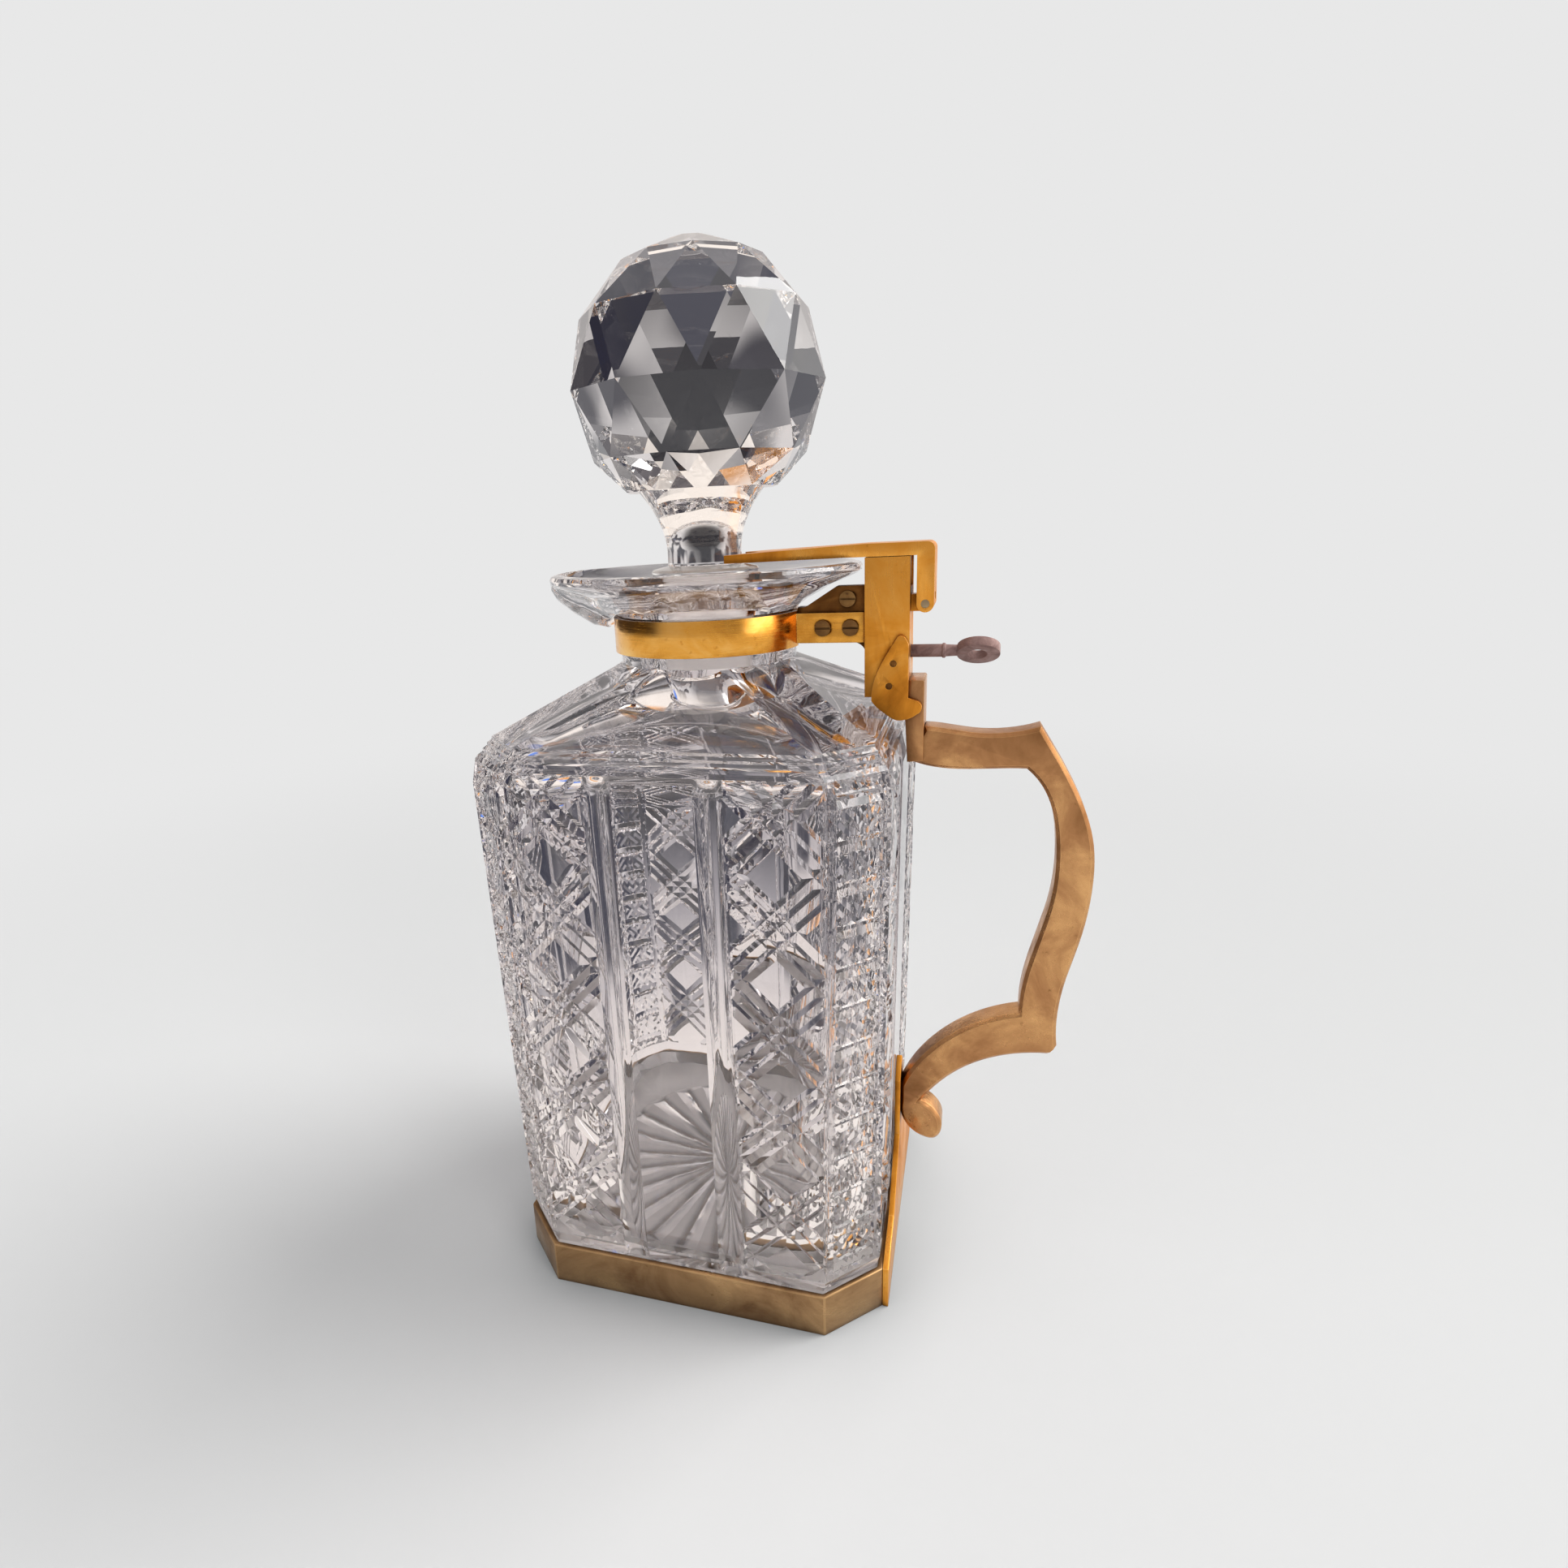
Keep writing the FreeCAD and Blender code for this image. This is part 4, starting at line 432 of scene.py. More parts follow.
# Lip and dish from the neck outwards and back to the bore, each place beside its place in the beak's middle.
LIP_PROFILE = (
    ((NECK_RADIUS, LIP_FOOT), (NECK_RADIUS, LIP_FOOT)),
    ((24.6, 179.1), (25.2, 177.9)), ((27.0, 180.8), (25.9, 175.6)),
    ((29.7, 182.2), (27.6, 174.3)), ((33.0, 184.0), (31.6, 175.0)), ((36.6, 185.4), (37.2, 178.2)),
    ((39.2, 186.5), (42.0, 181.8)), ((40.2, 187.3), (43.3, 183.9)), ((40.4, 188.2), (43.4, 185.9)),
    ((39.9, 189.0), (42.7, 187.2)), ((38.6, 189.35), (41.2, 187.6)), ((37.0, 189.3), (39.4, 187.2)),
    ((34.0, 188.7), (35.6, 185.9)), ((28.0, 188.0), (28.6, 185.6)), ((20.0, 187.2), (20.2, 186.0)),
    ((14.6, 186.55), (14.6, 186.4)), ((13.2, 186.3), (13.2, 186.3)), ((12.76, 185.6), (12.76, 185.6)),
    ((11.46, 159.6), (11.46, 159.6)),
)
# The beak's half width at radii. Places this far under the lip or this near the axis aren't drawn out.
BEAK_WIDTHS = ((24.0, 15.5), (30.0, 13.0), (36.0, 10.0), (43.4, 7.5))
BEAK_DROP = 0.1
BEAK_INNER = 14.0
BEAK_FALL = 1.3
BEAK_POWER = 2.4
# Places of the lip are told apart by radius and height to this many decimals.
LIP_DECIMALS = 1

HOLLOW_SQUARENESS = 7.0
HOLLOW_RINGS = ((42.0, 145.5), (44.5, 143.0), (46.0, 138.5), (45.3, 100.0), (44.3, 55.0), (43.4, 20.0),
                (42.5, 15.0), (40.0, 12.0), (36.0, 10.8), (26.0, 10.5), (13.0, 10.9))
HOLLOW_NECK = (11.45, 157.6)
HOLLOW_NECK_STEPS = 8
HOLLOW_NECK_BEND = 0.9
HOLLOW_FLOOR = 11.0

PLAIN, FLUTE, ZONE, CHAMFER, TURNED, HOLLOW_PANEL = range(6)
SMOOTH_REGIONS = (TURNED, HOLLOW_PANEL, FLUTE)


def clamped(value):
    return min(max(value, 0.0), 1.0)


def half_width(z):
    """Half the distance between opposite faces at a height."""
    for (near, low), (far, high) in zip(BODY_RINGS, BODY_RINGS[1:]):
        if z <= high:
            return near + (far - near) * (z - low) / (high - low)
    return BEVEL_HALF


def front_point(x, z):
    return Vector((x, -half_width(z), z))


def turned_point(radius, angle, z):
    return Vector((radius * math.sin(angle), -radius * math.cos(angle), z))


def turned_row(radius, z):
    """Places of a round ring, from the front to the corner."""
    return [turned_point(radius, EIGHTH * i / TURN_STEPS, z) for i in range(TURN_STEPS + 1)]


def corner_points(half, z):
    """Middle of the front, the corner's start and the corner's middle."""
    back = CORNER_CUT / 2
    return (Vector((0, -half, z)), Vector((half - CORNER_CUT, -half, z)),
            Vector((half - back, back - half, z)))


class Sector:
    """One eighth of the bottle, with shared corners, whose faces carry the number of their region."""

    def __init__(self):
        self.mesh = bmesh.new()
        self.corners = {}

    def corner(self, place):
        key = tuple(round(value, PLACE_DECIMALS) for value in place)
        if key not in self.corners:
            self.corners[key] = self.mesh.verts.new(place)
        return self.corners[key]

    def face(self, places, region):
        corners = []
        for place in places:
            found = self.corner(place)
            if found not in corners:
                corners.append(found)
        self.mesh.faces.new(corners).material_index = region

    def strip(self, lower, upper, region):
        """Quads between two rows of places of the same count."""
        for i in range(len(lower) - 1):
            self.face((lower[i], lower[i + 1], upper[i + 1], upper[i]), region)

    def of_region(self, region):
        return [face for face in self.mesh.faces if face.material_index == region]

    def slice(self, region, point, normal):
        faces = self.of_region(region)
        edges = list({edge for face in faces for edge in face.edges})
        verts = list({vert for face in faces for vert in face.verts})
        bmesh.ops.bisect_plane(self.mesh, geom=faces + edges + verts, dist=SLICE_REACH, plane_co=point,
                               plane_no=normal)

    def carve(self, region, depth, inward):
        for vert in {vert for face in self.of_region(region) for vert in face.verts}:
            vert.co += inward * depth(vert.co)


def add_body(sector):
    """Front half face and half corner, up to the bevel's top."""
    for (half_low, low), (half_high, high) in zip(BODY_RINGS, BODY_RINGS[1:]):
        cut = low >= SILL
        flute = FLUTE if low >= RIM else PLAIN
        edges = (half_low - CORNER_CUT, half_high - CORNER_CUT)
        for near, (far_low, far_high), region in ((0, (FLUTE_IN, FLUTE_IN), PLAIN),
                                                  (FLUTE_IN, (FLUTE_OUT, FLUTE_OUT), flute),
                                                  (FLUTE_OUT, edges, ZONE if cut else PLAIN)):
            sector.face((front_point(near, low), front_point(far_low, low), front_point(far_high, high),
                         front_point(near, high)), region)
        start_low, middle_low = corner_points(half_low, low)[1:]
        start_high, middle_high = corner_points(half_high, high)[1:]
        sector.face((start_low, middle_low, middle_high, start_high), CHAMFER if cut else PLAIN)


def add_foot(sector):
    """Underside with its star of mitre cuts, whose rays deepen outwards."""
    count = round(EIGHTH / STAR_STEP)
    ring, rim = [], []
    for i in range(count + 1):
        ring.append(turned_point(STAR_RADIUS, i * STAR_STEP, FOOT + (0 if i % 2 else STAR_DEPTH)))
        rim.append(turned_point(STAR_RADIUS + STAR_RIM, i * STAR_STEP, FOOT))
    for i in range(count):
        sector.face((Vector((0, 0, FOOT)), ring[i], ring[i + 1]), PLAIN)
    sector.strip(ring, rim, PLAIN)
    front, start, middle = corner_points(FOOT_HALF, FOOT)
    border = [middle, start, front_point(FLUTE_OUT, FOOT), front_point(FLUTE_IN, FOOT), front]
    sector.face(rim + border, PLAIN)


def panel_row(start, end, count):
    return [start.lerp(end, i / count) for i in range(count + 1)]


def add_shoulder(sector):
    """Ribbed step, and the half panels on face and corner that run up to the round neck."""
    below_front = [front_point(x, BEVEL_TOP) for x in (0, FLUTE_IN, FLUTE_OUT, BEVEL_HALF - CORNER_CUT)]
    below_corner = list(corner_points(BEVEL_HALF, BEVEL_TOP)[1:])
    rows = []
    for half, z in STEP_RINGS:
        front, start, middle = corner_points(half, z)
        rows.append((panel_row(front, start, PANEL_STEPS),
                     panel_row(start, middle, TURN_STEPS - PANEL_STEPS)))
    sector.face(below_front + rows[0][0][::-1], PLAIN)
    sector.face(below_corner + rows[0][1][::-1], PLAIN)
    for lower, upper in zip(rows, rows[1:]):
        for side in (0, 1):
            sector.strip(lower[side], upper[side], PLAIN)
    front, corner = rows[-1]
    neck = turned_row(NECK_RADIUS, NECK_FOOT)
    for foot, top, outward in ((front, neck[:PANEL_STEPS + 1], FRONT_OUTWARD),
                               (corner[::-1], neck[PANEL_STEPS:][::-1], CORNER_OUTWARD)):
        last = foot
        for step in range(1, SHOULDER_STEPS + 1):
            along = step / SHOULDER_STEPS
            hollow = SHOULDER_HOLLOW * math.sqrt(max(0.0, math.sin(math.pi * along)))
            row = []
            for i, (low, high) in enumerate(zip(foot, top)):
                across = i / (len(foot) - 1)
                row.append(low.lerp(high, along) - outward * hollow * (1 - across ** 2))
            sector.strip(last, row, HOLLOW_PANEL)
            last = row


def add_neck(sector):
    """Neck, lip, dish and bore, turned about the axis."""
    places = [(NECK_RADIUS, NECK_FOOT)] + [plain for plain, beaked in LIP_PROFILE]
    rows = [turned_row(radius, z) for radius, z in places]
    for lower, upper in zip(rows, rows[1:]):
        sector.strip(lower, upper, TURNED)
    return rows[-1]


def rounded_square(half, angle):
    """Radius of a square with soft corners at an angle from its front."""
    total = math.cos(angle) ** HOLLOW_SQUARENESS + math.sin(angle) ** HOLLOW_SQUARENESS
    return half / total ** (1 / HOLLOW_SQUARENESS)


def add_hollow(sector, bore_foot):
    """Smooth blown inside, from the bore down to the floor."""
    angles = [EIGHTH * i / TURN_STEPS for i in range(TURN_STEPS + 1)]
    radius, top = HOLLOW_NECK
    wide, low = HOLLOW_RINGS[0]
    last = bore_foot
    for step in range(HOLLOW_NECK_STEPS):
        share = step / HOLLOW_NECK_STEPS
        z = top + (low - top) * share + HOLLOW_NECK_BEND * math.sin(math.pi * share)
        row = [turned_point(radius + (rounded_square(wide, a) - radius) * share, a, z) for a in angles]
        sector.strip(last, row, TURNED)
        last = row
    for half, z in HOLLOW_RINGS:
        row = [turned_point(rounded_square(half, a), a, z) for a in angles]
        sector.strip(last, row, TURNED)
        last = row
    for i in range(TURN_STEPS):
        sector.face((last[i], last[i + 1], Vector((0, 0, HOLLOW_FLOOR))), TURNED)


def cut_flutes(sector):
    """Round-ended hollow flutes beside the clear panel."""
    middle, half = (FLUTE_IN + FLUTE_OUT) / 2, (FLUTE_OUT - FLUTE_IN) / 2
    for share in FLUTE_SHARES:
        sector.slice(FLUTE, Vector((middle + share * half, 0, 0)), ACROSS)
    for drop in FLUTE_DROPS:
        sector.slice(FLUTE, Vector((0, 0, FLUTE_TOP - drop)), UP)
    sector.slice(FLUTE, Vector((0, 0, RIM + FLUTE_RISE)), UP)

    def depth(place):
        across = (place.x - middle) / half
        end = clamped((FLUTE_TOP - place.z) / FLUTE_ROUND)
        foot = clamped((place.z - RIM) / FLUTE_RISE)
        return max(0.0, 1 - (1 - end) ** 2 - across ** 2) * FLUTE_DEPTH * foot

    sector.carve(FLUTE, depth, INWARD)


def lattice_lines(low, high, first, pitch):
    """Evenly spaced numbers through a first one that reach past both bounds."""
    start = math.floor((low - first) / pitch) - 1
    end = math.ceil((high - first) / pitch) + 1
    return [first + pitch * i for i in range(start, end + 1)]


def run_out(distance):
    """How deep a cut is at a distance from the end of its field, as a share."""
    return clamped(distance / RUN_OUT)


def cut_zones(sector):
    """Crossed bands of three mitre cuts each, with plain raised squares between the bands."""
    spacing = LATTICE_PITCH / DIAGONAL
    reach = FACE_HALF - CORNER_CUT
    rising = lattice_lines((FLUTE_OUT - BEVEL_TOP) / DIAGONAL, (reach - SILL) / DIAGONAL,
                           (LATTICE_X - LATTICE_Z) / DIAGONAL, spacing)
    falling = lattice_lines((FLUTE_OUT + SILL) / DIAGONAL, (reach + BEVEL_TOP) / DIAGONAL,
                            (LATTICE_X + LATTICE_Z) / DIAGONAL, spacing)
    for rows, normal in ((rising, (ACROSS - UP).normalized()), (falling, (ACROSS + UP).normalized())):
        for middle in rows:
            for share in MITRE_SLICES:
                sector.slice(ZONE, normal * (middle + share * MITRE_WIDTH), normal)
    crossing = MITRE_WIDTH / DIAGONAL
    for column in lattice_lines(FLUTE_OUT, reach, LATTICE_X, LATTICE_PITCH / 2):
        for i in CROSSING_SLICES:
            sector.slice(ZONE, Vector((column + i * crossing, 0, 0)), ACROSS)
    for row in lattice_lines(SILL, BEVEL_TOP, LATTICE_Z, LATTICE_PITCH / 2):
        for i in CROSSING_SLICES:
            sector.slice(ZONE, Vector((0, 0, row + i * crossing)), UP)
    sector.slice(ZONE, Vector((FLUTE_OUT + RUN_OUT, 0, 0)), ACROSS)
    for low, high in ((SILL, FACE_TOP), (FACE_TOP, BEVEL_TOP)):
        start = front_point(half_width(low) - CORNER_CUT - RUN_OUT, low)
        end = front_point(half_width(high) - CORNER_CUT - RUN_OUT, high)
        sector.slice(ZONE, start, Vector((end.z - start.z, 0, start.x - end.x)))
    for z in (SILL + RUN_OUT, BEVEL_TOP - RUN_OUT):
        sector.slice(ZONE, Vector((0, 0, z)), UP)

    def mitre(value, rows):
        nearest = min(abs(value - row - i * MITRE_WIDTH) for row in rows for i in MITRES)
        return max(0.0, 1 - nearest / (MITRE_WIDTH / 2))

    def depth(place):
        edge = half_width(place.z) - CORNER_CUT
        inside = min(place.x - FLUTE_OUT, edge - place.x, place.z - SILL, BEVEL_TOP - place.z)
        cut = max(mitre((place.x - place.z) / DIAGONAL, rising),
                  mitre((place.x + place.z) / DIAGONAL, falling))
        return MITRE_DEPTH * cut * run_out(inside)

    sector.carve(ZONE, depth, INWARD)


def cut_corner(sector):
    """Hobnail blocks between level grooves, with an upright mitre cut at each side."""
    along = (ACROSS + INWARD).normalized()
    inward = (INWARD - ACROSS).normalized()
    block_side = UPRIGHT_MIDDLE - UPRIGHT_HALF
    for place in (UPRIGHT_MIDDLE + UPRIGHT_HALF, UPRIGHT_MIDDLE, block_side, block_side - HATCH_RUN_OUT):
        sector.slice(CHAMFER, -along * place, along)
    grooves = lattice_lines(SILL + BLOCK_PITCH, BEVEL_TOP - BLOCK_PITCH, BLOCK_FIRST, BLOCK_PITCH)
    grooves = [z for z in grooves if SILL + BLOCK_MARGIN < z < BEVEL_TOP - BLOCK_MARGIN]
    for z in grooves:
        for offset in (-GROOVE_HALF - HATCH_RUN_OUT, -GROOVE_HALF, 0, GROOVE_HALF,
                       GROOVE_HALF + HATCH_RUN_OUT):
            sector.slice(CHAMFER, Vector((0, 0, z + offset)), UP)
    for z in (SILL + RUN_OUT, BEVEL_TOP - RUN_OUT):
        sector.slice(CHAMFER, Vector((0, 0, z)), UP)
    rows = lattice_lines(SILL / DIAGONAL - UPRIGHT_MIDDLE, BEVEL_TOP / DIAGONAL + UPRIGHT_MIDDLE, 0,
                         HATCH_PITCH / 2)
    for normal in ((along + UP).normalized(), (UP - along).normalized()):
        for row in rows:
            sector.slice(CHAMFER, normal * row, normal)

    def hatch(value):
        turns = value / HATCH_PITCH
        return 1 - abs(turns - round(turns)) * 2

    def depth(place):
        side = abs(place.dot(along))
        ends = run_out(min(place.z - SILL, BEVEL_TOP - place.z))
        if side >= block_side:
            return GROOVE_DEPTH * max(0.0, 1 - abs(side - UPRIGHT_MIDDLE) / UPRIGHT_HALF) * ends
        nearest = min(abs(place.z - z) for z in grooves)
        border = clamped((block_side - side) / HATCH_RUN_OUT)
        if nearest < GROOVE_HALF:
            return GROOVE_DEPTH * (1 - nearest / GROOVE_HALF) * border * ends
        border = min(border, (nearest - GROOVE_HALF) / HATCH_RUN_OUT)
        cut = max(hatch((side + place.z) / DIAGONAL), hatch((place.z - side) / DIAGONAL))
        return HATCH_DEPTH * cut * border * ends

    sector.carve(CHAMFER, depth, inward)


def whole_from_sector(sector, name):
    """Mirrors and turns the sector into the whole bottle."""
    sector.mesh.verts.ensure_lookup_table()
    sector.mesh.verts.index_update()
    places, faces, regions = [], [], []
    source = [vert.co.copy() for vert in sector.mesh.verts]
    loops = [([vert.index for vert in face.verts], face.material_index) for face in sector.mesh.faces]
    for quarter in range(4):
        turn = Matrix.Rotation(math.radians(90 * quarter), 3, "Z")
        for side in (1, -1):
            start = len(places)
            places += [turn @ Vector((side * co.x, co.y, co.z)) for co in source]
            for loop, region in loops:
                order = loop if side > 0 else loop[::-1]
                faces.append([start + i for i in order])
                regions.append(region)
    mesh = bpy.data.meshes.new(name)
    mesh.from_pydata(places, [], faces)
    for polygon, region in zip(mesh.polygons, regions):
        polygon.material_index = region
    whole = bmesh.new()
    whole.from_mesh(mesh)
    bmesh.ops.remove_doubles(whole, verts=whole.verts, dist=JOIN_REACH)
    bmesh.ops.recalc_face_normals(whole, faces=whole.faces)
    return mesh, whole


def beak_width(radius):
    """Half the beak's width at a distance from the axis."""
    for (near, wide), (far, narrow) in zip(BEAK_WIDTHS, BEAK_WIDTHS[1:]):
        if radius <= far:
            return wide + (narrow - wide) * max(0.0, radius - near) / (far - near)
    return BEAK_WIDTHS[-1][1]


def draw_out_beak(whole):
    """Moves the lip's places on the side away from the handle to the beak's profile."""
    targets = {}
    for (radius, z), beaked in LIP_PROFILE:
        targets[(round(radius, LIP_DECIMALS), round(z, LIP_DECIMALS))] = beaked
    for vert in whole.verts:
        radius = math.hypot(vert.co.x, vert.co.y)
        if vert.co.z < LIP_FOOT - BEAK_DROP or radius < BEAK_INNER or vert.co.x > 0:
            continue
        key = (round(radius, LIP_DECIMALS), round(vert.co.z, LIP_DECIMALS))
        if key not in targets:
            continue
        far, level = targets[key]
        across = abs(vert.co.y) / beak_width(radius)
        weight = math.exp(-BEAK_FALL * across ** BEAK_POWER)
        scale = 1 + (far / radius - 1) * weight
        vert.co.x *= scale
        vert.co.y *= scale
        vert.co.z += (level - vert.co.z) * weight


def make_bottle(material):
    sector = Sector()
    add_body(sector)
    add_foot(sector)
    add_shoulder(sector)
    add_hollow(sector, add_neck(sector))
    cut_flutes(sector)
    cut_zones(sector)
    cut_corner(sector)
    bmesh.ops.dissolve_limit(sector.mesh, angle_limit=math.radians(FLAT_ANGLE), verts=sector.mesh.verts,
                             edges=sector.mesh.edges, delimit={"MATERIAL"})
    mesh, whole = whole_from_sector(sector, "cut_glass_bottle")
    draw_out_beak(whole)
    for face in whole.faces:
        face.smooth = face.material_index in SMOOTH_REGIONS
        face.material_index = 0
    finish_glass("cut_glass_bottle", whole, mesh, material, "bottle")


# Stopper

BALL_RADIUS = 32.0
BALL_CENTRE = 233.7
BALL_SIDES = 10
# Each ring of the ball is turned by half a side against the next.
HALF_SIDE = 0.5
BALL_RINGS = (80.0, 57.0, 29.0, -3.0, -33.0)
FLARE_TOP = 208.5
FLARE_RADIUS = 16.0
WAIST_RADIUS = 9.6
WAIST_TOP = 193.6
STEM_PROFILE = ((9.6, 190.0), (13.4, 189.2), (14.0, 188.6), (14.0, 187.4), (13.4, 186.8), (12.7, 186.7),
                (12.7, 186.2), (11.4, 160.1), (10.8, 159.5))
PEG_TOP = 186.2
STEM_SEGMENTS = 40
FLARE_STEPS = 9
FLARE_POWER = 1.9


def ring_of_verts(mesh, radius, z, count, shift):
    """Corners of a level ring, turned by a shift counted in corners."""
    turns = [math.tau * (i + shift) / count for i in range(count)]
    return [mesh.verts.new((radius * math.cos(turn), radius * math.sin(turn), z)) for turn in turns]


def make_stopper(material):
    """Ball cut in rings of triangles, whose corners alternate, over a turned stem and peg."""
    mesh = bmesh.new()
    rings = []
    lowest = math.degrees(math.asin((FLARE_TOP - BALL_CENTRE) / BALL_RADIUS))
    for row, elevation in enumerate(BALL_RINGS + (lowest,)):
        up = math.radians(elevation)
        radius, z = BALL_RADIUS * math.cos(up), BALL_CENTRE + BALL_RADIUS * math.sin(up)
        rings.append(ring_of_verts(mesh, radius, z, BALL_SIDES, HALF_SIDE * ((row + 1) % 2)))
    mesh.faces.new(rings[0])
    for row, (upper, lower) in enumerate(zip(rings, rings[1:])):
        step = (row + 1) % 2
        for i in range(BALL_SIDES):
            after = (i + 1) % BALL_SIDES
            below = lower[(i + step) % BALL_SIDES]
            beside = lower[(i + step - 1) % BALL_SIDES]
            mesh.faces.new((upper[i], below, upper[after]))
            mesh.faces.new((upper[i], beside, below))
    profile = []
    for step in range(FLARE_STEPS + 1):
        share = 1 - step / FLARE_STEPS
        profile.append((WAIST_RADIUS + (FLARE_RADIUS - WAIST_RADIUS) * share ** FLARE_POWER,
                        WAIST_TOP + (FLARE_TOP - WAIST_TOP) * share))
    profile += STEM_PROFILE
    per_side = STEM_SEGMENTS // BALL_SIDES
    shift = HALF_SIDE * (len(rings) % 2) * per_side
    rows = [ring_of_verts(mesh, radius, z, STEM_SEGMENTS, shift) for radius, z in profile]
    for i in range(BALL_SIDES):
        arc = [rows[0][(i * per_side + k) % STEM_SEGMENTS] for k in range(per_side + 1)]
        mesh.faces.new([rings[-1][(i + 1) % BALL_SIDES], rings[-1][i]] + arc)
    for upper, lower in zip(rows, rows[1:]):
        for i in range(STEM_SEGMENTS):
            after = (i + 1) % STEM_SEGMENTS
            mesh.faces.new((upper[i], upper[after], lower[after], lower[i])).smooth = True
    mesh.faces.new(rows[-1])
    bmesh.ops.recalc_face_normals(mesh, faces=mesh.faces)
    finish_glass("ball_stopper", mesh, bpy.data.meshes.new("ball_stopper"), material, "stopper")


# Metal pieces

# How far the edges of each node are rounded, in millimetres.
EDGE_RADII = {
    "base_tray": 0.35, "back_strap": 0.25, "scroll_screw": 0.15, "neck_band": 0.22, "neck_bracket": 0.2,
    "band_screws": 0.12, "bracket_screw": 0.12, "lock_case": 0.25, "lock_cover": 0.2, "cover_screws": 0.08,
    "locking_arm": 0.35, "arm_staple": 0.2, "staple_rivets": 0.1, "hinge_pin": 0.1, "cheek_near": 0.35,
    "cheek_far": 0.35, "cheek_rivets": 0.15, "handle": 0.5, "key": 0.25,
}
EDGE_SEGMENTS = 2
EDGE_ANGLE = 24.0
EDGE_PROFILE = 0.5
METAL_SHARP_ANGLE = 32.0
SAME_PLACE = 2e-6
SAME_PLANE = 1.0


def soften(node, material, radius):
    """A copy of a node whose sharp edges are rounded a little."""
    mesh = bmesh.new()
    mesh.from_mesh(NODES[node].data)
    bmesh.ops.remove_doubles(mesh, verts=mesh.verts, dist=SAME_PLACE)
    bmesh.ops.dissolve_limit(mesh, angle_limit=math.radians(SAME_PLANE), verts=mesh.verts, edges=mesh.edges)
    sharp = [edge for edge in mesh.edges if len(edge.link_faces) == 2
             and edge.calc_face_angle(0.0) > math.radians(EDGE_ANGLE)]
    wear = mesh.faces.layers.float.new(WEAR)
    rounded = bmesh.ops.bevel(mesh, geom=sharp, offset=radius * MM, offset_type="OFFSET",
                              segments=EDGE_SEGMENTS, profile=EDGE_PROFILE, affect="EDGES",
                              clamp_overlap=True)["faces"]
    for face in rounded:
        face[wear] = 1.0
    for face in mesh.faces:
        face.smooth = True
    mark_sharp(mesh, METAL_SHARP_ANGLE)
    data = bpy.data.meshes.new(node + "_finished")
    mesh.to_mesh(data)
    finish_piece(node + "_finished", data, material, node)


def dress_metal(materials):
    slots = {part["node"]: part["material_slot"] for part in frame["record"]["subparts"]}
    for node, solid in NODES.items():
        if node in ("bottle", "stopper"):
            continue
        material = materials[slots[node]]
        if node in EDGE_RADII:
            soften(node, material, EDGE_RADII[node])
        else:
            solid.data.materials.clear()
            solid.data.materials.append(material)


# Floor, background and light

BACKGROUND = (0.807, 0.807, 0.807)
# Light that matt places get from the room, and more of it through the glass, which the lamps can't pass.
AMBIENT = (0.5, 0.5, 0.5)
LIGHT_IN_GLASS = (2.5, 2.35, 2.25)
# A count of bounces is compared with this to tell none from one.
ANY_BOUNCE = 0.5

# Metres, like every size of the floor and the lamps. The floor fades into the background over FLOOR_FADE.
FLOOR_HALF = 3.0
FLOOR_DROP = 0.00002
FLOOR_FADE = (0.28, 0.75)
FLOOR_COLOUR = (0.74, 0.745, 0.75)
FLOOR_ROUGHNESS = 0.9
FLOOR_SPECULAR = 0.1
# What the glass shows through it: a glow that the floor gives off, painted light at distances from the axis,
# bright near the bottle and dark further out.
GLASS_FLOOR_GLOW = ((0.08, (0.95, 0.87, 0.8)), (0.15, (0.68, 0.63, 0.61)), (0.25, (0.4, 0.375, 0.385)),
               (0.4, (0.16, 0.152, 0.165)), (0.6, (0.05, 0.048, 0.055)))
GLASS_FLOOR_REACH = 0.8
# Dark and light of the room that the glass shows, and the noise that mixes them.
GLASS_ROOM = ((0.07, 0.067, 0.08), (0.74, 0.7, 0.69))
CLUTTER = (5.0, 1.5)
CLUTTER_EDGES = (0.44, 0.54)
# Soft round shapes of a room, later ones over earlier ones: azimuth from +X, elevation, inner and outer angle
# in degrees, and colour.
GLASS_SHAPES = {
    "front": (-74.0, 6.0, 25.0, 60.0, (0.2, 0.19, 0.2)),
    "behind": (106.0, 16.0, 12.0, 28.0, (0.025, 0.024, 0.028)),
    "dark side": (150.0, 10.0, 8.0, 20.0, (0.03, 0.03, 0.045)),
    "pane": (112.0, 46.0, 5.0, 9.0, (1.1, 1.08, 1.05)),
    "ceiling": (0.0, 90.0, 45.0, 62.0, (1.05, 0.95, 0.86)),
    "window": (-20.0, 40.0, 9.0, 15.0, (2.2, 2.15, 2.1)),
    "cool glimpse": (158.0, 44.0, 5.0, 9.0, (0.12, 0.3, 0.95)),
    "warm glimpse": (146.0, 54.0, 5.0, 9.0, (0.95, 0.42, 0.12)),
}
